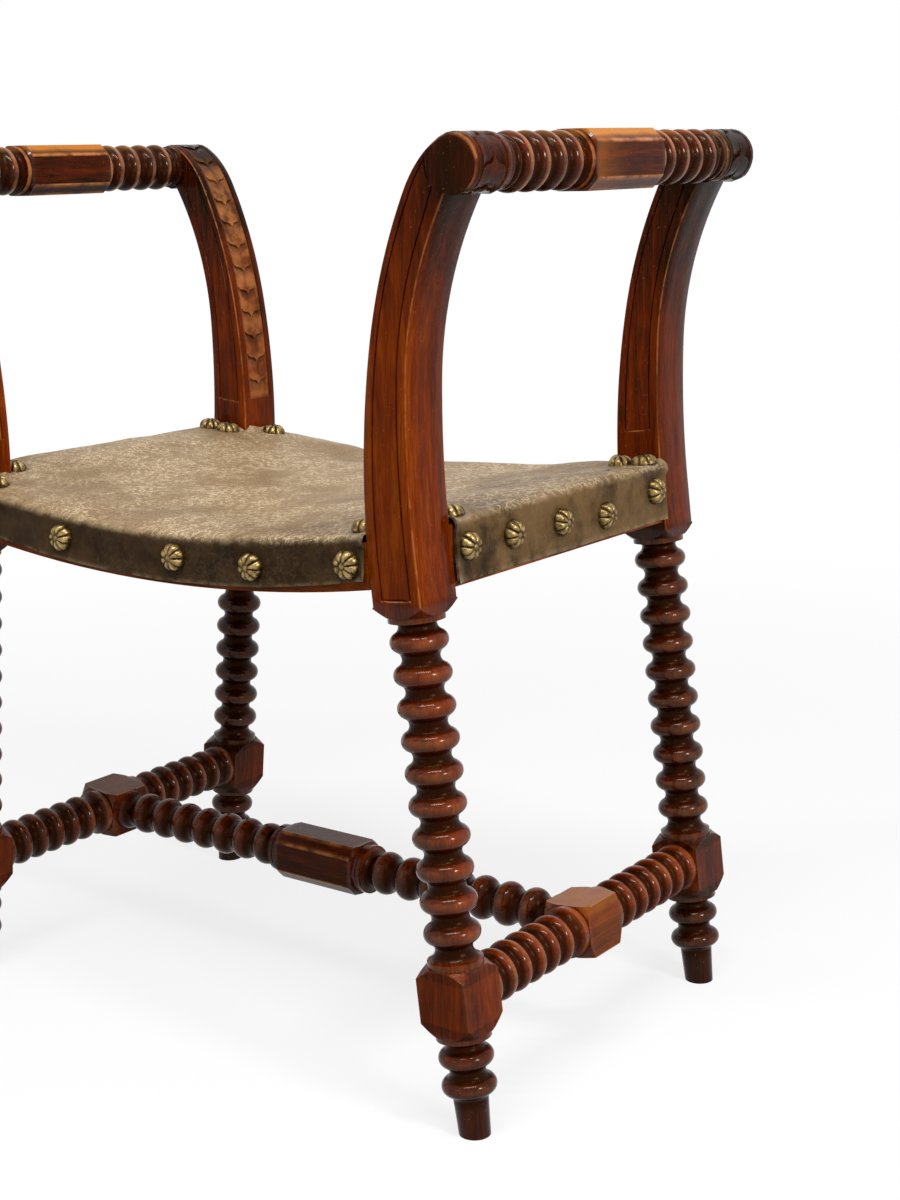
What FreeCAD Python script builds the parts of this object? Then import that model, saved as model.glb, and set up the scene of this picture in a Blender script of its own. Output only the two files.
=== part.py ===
import FreeCAD, Part
import math
import os

# An armed stool in the Renaissance manner: four turned and splayed legs that go on upwards as
# curved arm posts and end in rolls, bobbin turned rails, and a dished leather seat between them.
# Everything is in millimetres. +X is to the sitter's left along the long stretcher, +Y is to the
# back, +Z is up, and the origin is on the floor under the middle of the seat.

Vector = FreeCAD.Vector
Rotation = FreeCAD.Rotation
Placement = FreeCAD.Placement

UP = Vector(0, 0, 1)
ALONG = Vector(1, 0, 0)
ACROSS = Vector(0, 1, 0)
MIDDLE = Vector(0, 0, 0)
QUARTER_TURN = 90
FULL_TURN = 360

doc = FreeCAD.newDocument("armed_stool")


# Driving dimensions

SIZES = {
    # the whole frame
    "arm_height": 700.0,
    "foot_reach": 269.4,
    "frame_reach": 162.2,
    "leg_splay": 6.16,
    "leg_stock": 42.0,
    "joint_gap": 0.15,
    "tool_overrun": 5.0,
    # the legs, measured up the sloping leg
    "foot_radius": 11.6,
    "foot_top_radius": 12.9,
    "foot_length": 26.9,
    "low_bobbin_radius": 20.2,
    "low_neck_radius": 13.2,
    "leg_block_length": 33.0,
    "leg_bobbin_radius": 20.8,
    "leg_neck_radius": 13.6,
    # the turned shoulders beside the square blocks of the legs
    "low_shoulder_length": 9.4,
    "low_flare_length": 4.2,
    "shoulder_length": 7.0,
    "shoulder_radius": 22.2,
    "ring_length": 4.4,
    "ring_radius": 20.3,
    "leg_flare_length": 7.6,
    "post_flare_length": 3.0,
    # the curved arm posts and the rolls on them
    "post_below_rail": 11.0,
    "post_foot_length": 4.2,
    "inner_bend_turn": 15.6,
    "outer_bend_turn": 8.2,
    "roll_radius": 20.0,
    "roll_rounding": 3.0,
    # the arm rails
    "arm_block_length": 84.0,
    "arm_bobbin_radius": 20.2,
    "arm_neck_radius": 15.4,
    "arm_shoulder_length": 3.6,
    "arm_flare_length": 2.6,
    "arm_ring_length": 3.4,
    "arm_collar_length": 20.2,
    "arm_collar_radius": 18.4,
    "block_chamfer": 8.5,
    # the stretchers
    "stretcher_height": 103.6,
    "tenon_radius": 9.0,
    "tenon_length": 22.0,
    "end_block_side": 41.0,
    "end_block_length": 35.0,
    "end_bobbin_radius": 19.9,
    "end_neck_radius": 15.0,
    "end_shoulder_length": 4.8,
    "end_flare_length": 8.6,
    "end_land_length": 2.9,
    "cross_block_length": 77.0,
    "cross_bobbin_radius": 18.0,
    "cross_neck_radius": 13.0,
    "cross_ring_length": 3.6,
    "cross_flare_length": 3.6,
    "ring_groove": 0.8,
    # the seat frame
    "seat_height": 417.8,
    "seat_curve_radius": 1176.0,
    "rail_height": 32.5,
    "rail_low_radius": 1256.0,
    "rail_thickness": 24.0,
    "rail_tenon_thickness": 10.0,
    "rail_tenon_height": 20.0,
    "rail_tenon_length": 16.0,
    "side_rail_set_in": 0.5,
    "side_rail_height": 44.4,
    "corner_block_reach": 38.0,
    "corner_block_height": 24.0,
    "screw_length": 32.0,
    "screw_spacing": 40.0,
    "screw_radius": 2.1,
    "screw_head_radius": 4.2,
    "screw_head_height": 2.4,
    # the webbing and the cloth over it
    "strap_width": 50.0,
    "strap_thickness": 1.3,
    "strap_tail": 4.0,
    "tack_spacing": 15.0,
    "tack_head_radius": 3.2,
    "tack_head_height": 0.6,
    "tack_length": 10.0,
    "tack_radius": 0.9,
    "hessian_thickness": 0.6,
    "hessian_margin": 4.0,
    # the stuffing and the leather
    "pad_margin": 16.0,
    "crown_height": 7.6,
    "crown_shoulder": 46.0,
    "leather_thickness": 2.0,
    "leather_round": 6.0,
    "leather_set_out": 2.5,
    "layer_gap": 0.1,
    "hem_lift": 3.0,
    "hem_radius": 1000.0,
    # the nails
    "nail_radius": 10.6,
    "nail_dome": 7.8,
    "nail_rim": 3.0,
    "nail_scallop_radius": 1.6,
    "nail_shank_radius": 1.1,
    "nail_shank_length": 20.0,
    "front_nail_drop": 18.6,
    "side_nail_drop": 23.9,
    "corner_nail_margin": 11.8,
    "pin_radius": 2.0,
    "pin_head_height": 1.2,
    "pin_shank_radius": 0.8,
    "pin_length": 9.0,
}

# Counts and shares chosen by hand. They are not lengths.
LEG_BOBBINS = 10
LOW_BOBBINS = 2
ARM_BOBBINS = 4
END_BOBBINS = 6
CROSS_BOBBINS = 8
LONG_STRAP_COUNT = 5
CROSS_STRAP_COUNT = 3
TACK_ROW_COUNT = 3
NAIL_PETALS = 8
MEETING_ROUNDS = 4

# A bobbin's flank leaves the hollow beside it at this share of the pitch from its crest, and at
# this share of the way from the neck's radius to the crest's.
FLANK_PLACE_SHARE = 0.27
FLANK_RISE_SHARE = 0.46

# How deep a flare is hollowed and how full a bead is, as shares of the straight line's length.
FLARE_SHARE = -0.14
BEAD_SHARE = 0.35

# Along the collar of an arm rail: the hollow, the end of the bead and the end of the flare.
COLLAR_PLACE_SHARES = (0.3, 0.65, 0.83)

# Shares of the climb from the seat to the roll: how far each post's roll is set out, and for its
# inner and outer face the straight length and the radius of the first bend.
ROLL_SET_OUT_SHARE = 0.3276125
INNER_FACE_SHARES = (0.0278413, 2.3646072)
OUTER_FACE_SHARES = (0.1266209, 3.0167811)

# Where each post's faces meet its roll, as shares of the roll's radius from the roll's middle.
INNER_END_SHARES = (-1.97, -0.805)
OUTER_END_SHARES = (-0.295, -0.9555)

# A quarter round in three straight steps, as shares of its radius: how far in, how far down.
ROUND_SHARES = ((0.0, 1.0), (0.134, 0.5), (0.5, 0.134), (1.0, 0.0))

# Where the seat's sections lie between its front and rear ridges, and how its crown falls off.
CROWN_STATION_SHARES = (0.0, 0.25, 0.5, 0.7, 0.86)
CROWN_FALL_POWER = 2.5
CROWN_SHOULDER_SHARE = 0.78
CROWN_BETWEEN_SHARE = 0.45

# Places of the nails, as uneven as a hand sets them: along the side as a share of the half width
# between the posts, and up from their line as a share of a nail's radius.
FRONT_NAIL_SHARES = ((-0.93, -0.1), (-0.481, 0.06), (0.111, 0.11), (0.489, -0.18), (0.93, -0.15))
REAR_NAIL_SHARES = ((-0.92, 0.0), (-0.46, 0.08), (-0.02, -0.1), (0.45, 0.05), (0.93, -0.06))
RIGHT_NAIL_SHARES = ((-0.892, 0.12), (-0.513, 0.07), (-0.064, -0.09), (0.366, -0.54), (0.882, 0.22))
LEFT_NAIL_SHARES = ((-0.885, 0.05), (-0.45, -0.08), (0.03, 0.1), (0.47, -0.2), (0.89, 0.1))

# How far outside the rim a scallop is centred, as a share of its own radius, and how far across
# the rail the nail beside each post stands.
SCALLOP_SHARE = 0.4
CORNER_NAIL_SHARE = 0.35

# The small pins near the right side's ridge: in front or behind, and as shares of a nail's
# radius how far out from the post's inner face and how far in from the corner nails.
PIN_PLACE_SHARES = ((-1, 2.12, 1.0), (-1, 2.87, 1.57), (1, 2.25, 3.86))

# How far apart the straps lie, as shares of a post's reach along X and of its reach along Y.
STRAP_SPACING_SHARES = (0.395, 0.555)

sheet = doc.addObject("Spreadsheet::Sheet", "Sizes")
for row, (alias, value) in enumerate(SIZES.items(), start=1):
    sheet.set("A%d" % row, alias)
    sheet.set("B%d" % row, str(value))
    sheet.setAlias("B%d" % row, alias)
doc.recompute()


def size(alias):
    """The value of a driving dimension, read from the sheet."""
    return float(sheet.get(alias))


def bind(thing, **formulas):
    """Binds properties to the sheet. A double underscore stands for a dot in a property's path."""
    for path, formula in formulas.items():
        thing.setExpression(path.replace("__", "."), formula)
    return thing


# Sizes that follow from the driving ones

half_stock = size("leg_stock") / 2
half_block = size("end_block_side") / 2
gap = size("joint_gap")
layer_gap = size("layer_gap")
overrun = size("tool_overrun")
splay = math.radians(size("leg_splay"))
leg_along = Vector(-math.sin(splay), 0, math.cos(splay))
leg_outward = Vector(math.cos(splay), 0, math.sin(splay))
inner_face = size("frame_reach") - half_stock
outer_face = size("frame_reach") + half_stock
face_gap = inner_face - gap
roll_height = size("arm_height") - size("roll_radius")
post_climb = roll_height - size("seat_height")


def up_leg(height):
    """How far up the sloping leg a height above the floor is."""
    return height / math.cos(splay)


def on_leg(place, offset=0.0):
    """A point of the right legs' middle plane: how far up the leg, and how far outwards of it."""
    return Vector(size("foot_reach"), 0, 0) + leg_along * place + leg_outward * offset


def rise(radius, reach):
    """How far an arc that is lowest in the middle of the stool has risen at a reach from there."""
    return radius - math.sqrt(radius ** 2 - reach ** 2)


def seat_rise(reach):
    return rise(size("seat_curve_radius"), reach)


def rail_rise(reach):
    return rise(size("rail_low_radius"), reach)


stretcher_reach = on_leg(up_leg(size("stretcher_height"))).x
roll_middle = Vector(on_leg(up_leg(roll_height)).x + ROLL_SET_OUT_SHARE * post_climb, 0,
                     roll_height)

# The layers of the seat from the leather down to the rails, at the middle of the front rail
cloth_top = size("seat_height") - size("leather_thickness") - layer_gap
cloth_level = cloth_top - size("hessian_thickness")
cross_level = cloth_level - layer_gap - size("tack_head_height") - size("strap_thickness")
long_level = cross_level - layer_gap - size("strap_thickness")
rail_top = long_level - layer_gap
rail_low = rail_top - size("rail_height")

# The square part of each leg starts just under the seat rails.
rail_end_low = rail_low + rail_rise(on_leg(up_leg(rail_low), -half_stock).x)
post_base = up_leg(rail_end_low) - size("post_below_rail")
post_start = post_base + size("post_foot_length")


# Sketches, turnings and blanks

def origin_plane(body, role):
    return [item for item in body.Origin.OriginFeatures if item.Role == role][0]


def sketch(body, role, name, outline, offset=0.0):
    """A sketch on one of a body's own planes, moved along its normal, from a list of edges."""
    made = body.newObject("Sketcher::SketchObject", name)
    made.AttachmentSupport = [(origin_plane(body, role), "")]
    made.MapMode = "FlatFace"
    made.AttachmentOffset = Placement(UP * offset, Rotation())
    made.addGeometry(outline, False)
    return made


def line(start, end):
    return Part.LineSegment(Vector(*start), Vector(*end))


def arc(start, through, end):
    return Part.Arc(Vector(*start), Vector(*through), Vector(*end))


def circle(middle, radius):
    return Part.Circle(Vector(*middle), UP, radius)


def polygon(points):
    return [line(a, b) for a, b in zip(points, points[1:] + points[:1])]


def pad(body, profile, name, length, midplane=True):
    """A pad whose length is a formula on the sheet."""
    made = body.newObject("PartDesign::Pad", name)
    made.Profile = profile
    if midplane:
        made.SideType = "Symmetric"
    bind(made, Length=length)
    body.Tip = made
    return made


class Turning:
    """The half outline of a turned piece, as edges from place to place along its axis."""

    def __init__(self, place, radius):
        self.first = (0.0, place)
        self.at = (radius, place)
        self.edges = [line(self.first, self.at)]

    def to(self, place, radius):
        self.edges.append(line(self.at, (radius, place)))
        self.at = (radius, place)
        return self

    def through(self, place, radius, end_place, end_radius):
        """An arc through one point to another."""
        self.edges.append(arc(self.at, (radius, place), (end_radius, end_place)))
        self.at = (end_radius, end_place)
        return self

    def swell(self, place, radius, share):
        """An arc that stands out from its chord by a share of it, or is hollow where negative."""
        run = place - self.at[1]
        climb = radius - self.at[0]
        return self.through(self.at[1] + run / 2 - climb * share,
                            self.at[0] + climb / 2 + run * share, place, radius)

    def quarter(self, place, radius, level_first):
        """An arc that is level, along the axis, at its first end or at its last."""
        run = place - self.at[1]
        climb = radius - self.at[0]
        bend = (run ** 2 + climb ** 2) / (2 * abs(climb))
        half_turn = math.asin(run / bend) / 2
        step = bend * math.sin(half_turn)
        drop = math.copysign(bend * (1 - math.cos(half_turn)), climb)
        if level_first:
            return self.through(self.at[1] + step, self.at[0] + drop, place, radius)
        return self.through(place - step, radius - drop, place, radius)

    def chain(self, end, count, crest, neck, half_last=False):
        """Bobbins that fill the way from a hollow here to end, a hollow or the last one's crest."""
        start = self.at[1]
        pitch = (end - start) / (count - (0.5 if half_last else 0))
        flank = pitch * FLANK_PLACE_SHARE
        flank_radius = neck + (crest - neck) * FLANK_RISE_SHARE
        for index in range(count):
            middle = start + (index + 0.5) * pitch
            if index == 0:
                self.quarter(middle - flank, flank_radius, level_first=True)
            else:
                self.through(middle - pitch / 2, neck, middle - flank, flank_radius)
            if half_last and index == count - 1:
                return self.quarter(middle, crest, level_first=False)
            self.through(middle, crest, middle + flank, flank_radius)
        return self.quarter(end, neck, level_first=False)

    def rings(self, length, count):
        """Plain rings with a groove between each two of them."""
        groove = size("ring_groove")
        for index in range(count):
            if index > 0:
                self.to(self.at[1], size("ring_radius") - groove)
                self.to(self.at[1] + groove, size("ring_radius") - groove)
                self.to(self.at[1], size("ring_radius"))
            self.to(self.at[1] + length, size("ring_radius"))
        return self

    def into_block(self, start, corner, shoulder, ring, flare):
        """The flare, ring and shoulder that lead from a neck to a square block's corners."""
        self.swell(start - shoulder - ring, size("ring_radius"), FLARE_SHARE)
        self.rings(ring, 1)
        self.to(self.at[1], size("shoulder_radius"))
        return self.to(start, corner)

    def out_of_block(self, end, corner, neck, shoulder, ring, flare, count=1):
        """The same the other way round, from a block's far end to a neck."""
        self.to(end, corner)
        self.to(end + shoulder, size("shoulder_radius"))
        self.to(self.at[1], size("ring_radius"))
        self.rings(ring, count)
        return self.swell(self.at[1] + flare, neck, FLARE_SHARE)

    def closed(self):
        """The finished outline, with a flat end here and the axis as its last side."""
        end = (0.0, self.at[1])
        return self.edges + [line(self.at, end), line(end, self.first)]


def turned_body(name, outline):
    """A body turned about its own Z axis."""
    body = doc.addObject("PartDesign::Body", name)
    profile = sketch(body, "XZ_Plane", name + "_outline", outline)
    spun = body.newObject("PartDesign::Revolution", name + "_spun")
    spun.Profile = profile
    spun.ReferenceAxis = (profile, ["V_Axis"])
    spun.Angle = FULL_TURN
    body.Tip = spun
    return body


def square(half):
    return [(-half, -half), (half, -half), (half, half), (-half, half)]


def chamfered_square(half, chamfer):
    inside = half - chamfer
    return [(-inside, -half), (inside, -half), (half, -inside), (half, inside),
            (inside, half), (-inside, half), (-half, inside), (-half, -inside)]


def common(name, base, tool):
    made = doc.addObject("Part::Common", name)
    made.Base = base
    made.Tool = tool
    return made


def fuse(name, shapes):
    made = doc.addObject("Part::MultiFuse", name)
    made.Shapes = shapes
    return made


def cut(name, base, tools, refine=True):
    """A piece with every tool taken out of it. refine joins the faces that go on in each other."""
    made = doc.addObject("Part::Cut", name)
    made.Base = base
    made.Tool = tools[0] if len(tools) == 1 else fuse(name + "_tools", tools)
    made.Refine = refine
    return made


def mirror(name, source, normal):
    made = doc.addObject("Part::Mirroring", name)
    made.Source = source
    made.Base = MIDDLE
    made.Normal = normal
    return made


def group(name, master, placements):
    """One node that holds a copy of the master piece at each placement."""
    made = doc.addObject("Part::Compound", name)
    links = []
    for number, placement in enumerate(placements, start=1):
        link = doc.addObject("App::Link", "%s_%d" % (name, number))
        link.LinkedObject = master
        link.Placement = placement
        links.append(link)
    made.Links = links
    return made


def round_hole(name, place, direction):
    """A drilled mortise for a round tenon, from a face into the wood."""
    made = doc.addObject("Part::Cylinder", name)
    bind(made, Radius="Sizes.tenon_radius + Sizes.joint_gap",
         Height="Sizes.tenon_length + Sizes.joint_gap + Sizes.tool_overrun")
    made.Placement = Placement(place - direction * overrun, Rotation(UP, direction))
    return made


def box(name, low, high, rotation=Rotation()):
    """A box of the sizes between two corners, which starts at the first and may be turned there."""
    made = doc.addObject("Part::Box", name)
    made.Length, made.Width, made.Height = high - low
    made.Placement = Placement(low, rotation)
    return made


nodes = {}


def node(name, thing):
    """Names a finished sub-part, which is written to a file of that name."""
    thing.Label = name
    nodes[name] = thing
    return thing


# The curved arm posts
#
# A post's faces rise straight up the leg, then bend twice, outwards, to meet the roll.

def flat(point):
    """A point of the X Z plane in the coordinates of a sketch on that plane."""
    return (point.x, point.z)


def halfway(start, end, middle):
    """The point half way along the shorter arc between two points about a middle."""
    towards = (start + end) / 2 - middle
    return middle + towards.normalize() * (start - middle).Length


class Bend:
    """One face of the post. Its second bend is the one that ends on the roll."""

    def __init__(self, side, face_shares, turn, end_shares):
        turn = math.radians(turn)
        straight, radius = (share * post_climb for share in face_shares)
        self.radius = radius
        self.foot = on_leg(post_start, side * half_stock)
        self.start = on_leg(post_start + straight, side * half_stock)
        self.first_middle = self.start + leg_outward * radius
        outward = leg_outward * math.cos(turn) - leg_along * math.sin(turn)
        self.change = self.first_middle - outward * radius
        self.end = roll_middle + Vector(end_shares[0], 0, end_shares[1]) * size("roll_radius")
        chord = self.end - self.change
        self.second_radius = chord.dot(chord) / (2 * chord.dot(outward))
        self.second_middle = self.change + outward * self.second_radius

    def edges(self):
        """The face's edges, from the foot of the post up to the roll."""
        return [
            line(flat(self.foot), flat(self.start)),
            arc(flat(self.start), flat(halfway(self.start, self.change, self.first_middle)),
                flat(self.change)),
            arc(flat(self.change), flat(halfway(self.change, self.end, self.second_middle)),
                flat(self.end)),
        ]

    def reach(self, height):
        """How far the face stands from the middle of the stool at a height above the floor."""
        if height < self.start.z:
            return self.start.x + (height - self.start.z) * leg_along.x / leg_along.z
        if height < self.change.z:
            middle, radius = self.first_middle, self.radius
        else:
            middle, radius = self.second_middle, self.second_radius
        return middle.x - math.sqrt(radius ** 2 - (height - middle.z) ** 2)


inner_bend = Bend(-1, INNER_FACE_SHARES, size("inner_bend_turn"), INNER_END_SHARES)
outer_bend = Bend(1, OUTER_FACE_SHARES, size("outer_bend_turn"), OUTER_END_SHARES)

# The inner face sweeps on over the roll in an arc that starts in line with the face and whose
# radius is the one that makes it touch the roll.
inner_end_outward = (inner_bend.second_middle - inner_bend.end).normalize()
to_end = inner_bend.end - roll_middle
sweep_radius = ((size("roll_radius") ** 2 - to_end.dot(to_end))
                / (2 * (inner_end_outward.dot(to_end) + size("roll_radius"))))
sweep_middle = inner_bend.end + inner_end_outward * sweep_radius
sweep_end = roll_middle + (roll_middle - sweep_middle).normalize() * size("roll_radius")
roll_far = roll_middle + ALONG * size("roll_radius")

post = doc.addObject("PartDesign::Body", "post")
post_outline = sketch(post, "XZ_Plane", "post_outline", inner_bend.edges() + [
    arc(flat(inner_bend.end), flat(halfway(inner_bend.end, sweep_end, sweep_middle)),
        flat(sweep_end)),
    arc(flat(sweep_end), flat(roll_far), flat(outer_bend.end)),
] + outer_bend.edges() + [line(flat(outer_bend.foot), flat(inner_bend.foot))])
post_pad = pad(post, post_outline, "post_pad", "Sizes.leg_stock")
bind(post, Placement__Base__y="-Sizes.frame_reach")
doc.recompute()


def is_roll_edge(edge):
    """Whether an edge is the rim of a roll's end."""
    return (isinstance(edge.Curve, Part.Circle)
            and abs(edge.Curve.Radius - size("roll_radius")) < gap
            and edge.Length > size("roll_radius"))


roll_ends = post.newObject("PartDesign::Fillet", "roll_ends")
roll_ends.Base = (post_pad, ["Edge%d" % number for number, edge in
                             enumerate(post_pad.Shape.Edges, start=1) if is_roll_edge(edge)])
bind(roll_ends, Radius="Sizes.roll_rounding")
post.Tip = roll_ends


# The seat frame's places, which the legs are mortised for

def meet(level, curve):
    """Where a curve of the seat meets the posts' inner faces: its reach and its height."""
    reach = inner_bend.reach(level)
    for _ in range(MEETING_ROUNDS):
        height = level + curve(reach)
        reach = inner_bend.reach(height)
    return reach, height


rail_end_top = meet(rail_top, seat_rise)
rail_end_bottom = meet(rail_low, rail_rise)
post_inner = meet(size("seat_height"), seat_rise)[0]
rail_end_middle = (rail_end_top[1] + rail_end_bottom[1]) / 2
post_bulge = ((rail_end_top[0] + rail_end_bottom[0]) / 2) - inner_bend.reach(rail_end_middle)
shoulder_gap = gap + post_bulge
rail_reach = inner_bend.reach(rail_end_middle)

front_inside = outer_face - size("rail_thickness")
front_middle = outer_face - size("rail_thickness") / 2
side_outside = outer_bend.reach(size("seat_height")) - size("side_rail_set_in")
side_inside = side_outside - size("rail_thickness")
side_middle = side_outside - size("rail_thickness") / 2
side_level = rail_top + size("strap_thickness") + layer_gap
side_low = side_level + seat_rise(side_outside) - size("side_rail_height")

half_tenon = size("rail_tenon_thickness") / 2
tenon_low = rail_end_middle - size("rail_tenon_height") / 2
tenon_high = rail_end_middle + size("rail_tenon_height") / 2
tenon_reach = rail_reach + size("rail_tenon_length")
side_tenon_reach = inner_face + size("rail_tenon_length")


# The legs
#
# Each leg is one piece of timber: a turned foot and shank with a square block left for the
# stretcher, and above the seat the curved arm post, sawn from the same timber.

leg_corner = half_stock * math.sqrt(2) + gap
leg_block_middle = up_leg(size("stretcher_height"))
leg_block_low = leg_block_middle - size("leg_block_length") / 2
leg_block_high = leg_block_middle + size("leg_block_length") / 2
low_shoulder = (size("low_shoulder_length"), size("ring_length"), size("low_flare_length"))
leg_shoulder = (size("shoulder_length"), size("ring_length"), size("leg_flare_length"))
post_shoulder = (size("shoulder_length"), size("ring_length"), size("post_flare_length"))

leg_outline = Turning(-overrun, size("foot_radius"))
leg_outline.to(0.0, size("foot_radius"))
leg_outline.to(size("foot_length"), size("foot_top_radius"))
leg_outline.chain(leg_block_low - sum(low_shoulder), LOW_BOBBINS,
                  size("low_bobbin_radius"), size("low_neck_radius"))
leg_outline.into_block(leg_block_low, leg_corner, *low_shoulder)
leg_outline.out_of_block(leg_block_high, leg_corner, size("leg_neck_radius"), *leg_shoulder)
leg_outline.chain(post_base - sum(post_shoulder), LEG_BOBBINS,
                  size("leg_bobbin_radius"), size("leg_neck_radius"))
leg_outline.into_block(post_base, leg_corner, *post_shoulder)
leg_outline.to(post_start, leg_corner)

leg_turning = turned_body("leg_turning", leg_outline.closed())
leg_blank = doc.addObject("PartDesign::Body", "leg_blank")
leg_section = sketch(leg_blank, "XY_Plane", "leg_section", polygon(square(half_stock)), -overrun)
pad(leg_blank, leg_section, "leg_length", str(post_start) + " + Sizes.tool_overrun",
    midplane=False)
for body in (leg_turning, leg_blank):
    body.Placement = Placement(MIDDLE, Rotation(ACROSS, -size("leg_splay")))
    bind(body, Placement__Base__x="Sizes.foot_reach", Placement__Base__y="-Sizes.frame_reach")
leg_timber = fuse("leg_timber", [common("leg_shank", leg_turning, leg_blank), post])

stock = size("leg_stock")
front_rail_mortise = box(
    "front_rail_mortise",
    Vector(rail_end_top[0] - overrun, -front_middle - half_tenon - gap, tenon_low - gap),
    Vector(tenon_reach + gap, -front_middle + half_tenon + gap, tenon_high + gap))
bind(front_rail_mortise, Width="Sizes.rail_tenon_thickness + 2 * Sizes.joint_gap",
     Height="Sizes.rail_tenon_height + 2 * Sizes.joint_gap")
side_rail_mortise = box(
    "side_rail_mortise",
    Vector(side_middle - half_tenon - gap, -side_tenon_reach - gap, tenon_low - gap),
    Vector(side_middle + half_tenon + gap, -inner_face + overrun, tenon_high + gap))
bind(side_rail_mortise, Length="Sizes.rail_tenon_thickness + 2 * Sizes.joint_gap",
     Height="Sizes.rail_tenon_height + 2 * Sizes.joint_gap")
leg_front_right = node("leg_front_right", cut("leg_front_right", leg_timber, [
    box("floor_cut", Vector(size("foot_reach") - stock, -outer_face - overrun, -stock),
        Vector(size("foot_reach") + stock, -inner_face + overrun, 0)),
    round_hole("stretcher_mortise", Vector(stretcher_reach, -inner_face,
                                           size("stretcher_height")), -ACROSS),
    round_hole("arm_mortise", Vector(roll_middle.x, -inner_face, roll_height), -ACROSS),
    front_rail_mortise,
    side_rail_mortise,
]))
leg_rear_right = node("leg_rear_right", mirror("leg_rear_right", leg_front_right, ACROSS))
node("leg_front_left", mirror("leg_front_left", leg_front_right, ALONG))
node("leg_rear_left", mirror("leg_rear_left", leg_rear_right, ALONG))


# The arm rails and stretchers, turned between centres with a block left in the middle

def other_half(edges):
    """The mirror image of a half outline's edges in the piece's middle."""
    made = []
    for edge in edges:
        flipped = edge.copy()
        flipped.mirror(MIDDLE, ALONG)
        made.append(flipped)
    return made


def spindle(name, half, end, length, section, placement):
    """A piece that is turned alike to both ends, with tenons, from a squared or chamfered blank."""
    half.to(end, half.at[0])
    edges = half.edges[1:] + [line(half.at, (0.0, end))]
    edges += other_half(edges)
    edges.append(line((0.0, -end), (0.0, end)))
    turning = turned_body(name + "_turning", edges)
    blank = doc.addObject("PartDesign::Body", name + "_blank")
    blank_section = sketch(blank, "XY_Plane", name + "_section", polygon(section))
    pad(blank, blank_section, name + "_length", length)
    turning.Placement = placement
    blank.Placement = placement
    return common(name + "_spindle", turning, blank)


chamfered_section = chamfered_square(half_stock, size("block_chamfer"))
arm_corner = half_stock + size("block_chamfer") / 2
arm_shoulder = (size("arm_shoulder_length"), size("arm_ring_length"), size("arm_flare_length"))
between_legs = "2 * (Sizes.frame_reach - Sizes.leg_stock / 2 + Sizes.tenon_length)"


def collar_place(share):
    """A place along the collar that an arm rail ends in."""
    return face_gap - size("arm_collar_length") * (1 - share)


arm_half = Turning(0.0, arm_corner)
arm_half.out_of_block(size("arm_block_length") / 2, arm_corner, size("arm_neck_radius"),
                      *arm_shoulder)
arm_half.chain(collar_place(0), ARM_BOBBINS, size("arm_bobbin_radius"),
               size("arm_neck_radius"), half_last=True)
hollow_share, bead_share, flare_share = COLLAR_PLACE_SHARES
arm_half.quarter(collar_place(hollow_share), size("arm_neck_radius"), level_first=True)
arm_half.swell(collar_place(bead_share), size("arm_neck_radius"), BEAD_SHARE)
arm_half.swell(collar_place(flare_share), size("arm_collar_radius"), FLARE_SHARE)
arm_half.to(face_gap, size("arm_collar_radius"))
arm_half.to(face_gap, size("tenon_radius"))
arm_spindle = spindle("arm_rail", arm_half, inner_face + size("tenon_length"), between_legs,
                      chamfered_section, Placement(roll_middle, Rotation(ALONG, -QUARTER_TURN)))
node("arm_rail_right", arm_spindle)
node("arm_rail_left", mirror("arm_rail_left", arm_spindle, ALONG))

# The end stretchers' blocks stand square to the splayed legs, not to the floor.
end_corner = half_block * math.sqrt(2) + gap
end_shoulder = (size("end_shoulder_length"), size("ring_length"), size("end_flare_length"))
end_place = Vector(stretcher_reach, 0, size("stretcher_height"))
end_tilt = Rotation(ACROSS, -size("leg_splay"))
end_half = Turning(0.0, end_corner)
end_half.out_of_block(size("end_block_length") / 2, end_corner, size("end_neck_radius"),
                      *end_shoulder)
end_half.chain(face_gap - size("end_land_length"), END_BOBBINS, size("end_bobbin_radius"),
               size("end_neck_radius"), half_last=True)
end_half.to(face_gap, size("end_bobbin_radius"))
end_half.to(face_gap, size("tenon_radius"))
end_spindle = spindle(
    "end_stretcher", end_half, inner_face + size("tenon_length"), between_legs,
    square(half_block), Placement(end_place, end_tilt.multiply(Rotation(ALONG, -QUARTER_TURN))))
block_face = stretcher_reach - half_block / math.cos(splay)
end_stretcher_right = node("end_stretcher_right", cut("end_stretcher_right", end_spindle, [
    round_hole("cross_mortise", Vector(block_face, 0, size("stretcher_height")), ALONG)]))
node("end_stretcher_left", mirror("end_stretcher_left", end_stretcher_right, ALONG))

# The cross stretcher's last bobbins run into the sloping blocks and are sawn off along them.
cross_shoulder = (size("arm_shoulder_length"), size("cross_ring_length"),
                  size("cross_flare_length"))
cross_place = Vector(0, 0, size("stretcher_height"))
cross_half = Turning(0.0, arm_corner)
cross_half.out_of_block(size("cross_block_length") / 2, arm_corner, size("cross_neck_radius"),
                        *cross_shoulder, count=2)
cross_half.chain(block_face, CROSS_BOBBINS, size("cross_bobbin_radius"),
                 size("cross_neck_radius"), half_last=True)
cross_half.to(block_face + overrun, size("cross_bobbin_radius"))
cross_half.to(block_face + overrun, size("tenon_radius"))
cross_end = block_face + size("tenon_length")
cross_spindle = spindle("cross_stretcher", cross_half, cross_end,
                        "2 * (%s + Sizes.tenon_length)" % block_face, chamfered_section,
                        Placement(cross_place, Rotation(ACROSS, QUARTER_TURN)))
saw_corner = (end_place - leg_outward * (half_block + gap) - leg_along * stock
              - ACROSS * stock)
saw_block = box("saw_block", saw_corner, saw_corner + Vector(stock, 2 * stock, 2 * stock),
                end_tilt)
saw_core = doc.addObject("Part::Cylinder", "saw_core")
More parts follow.
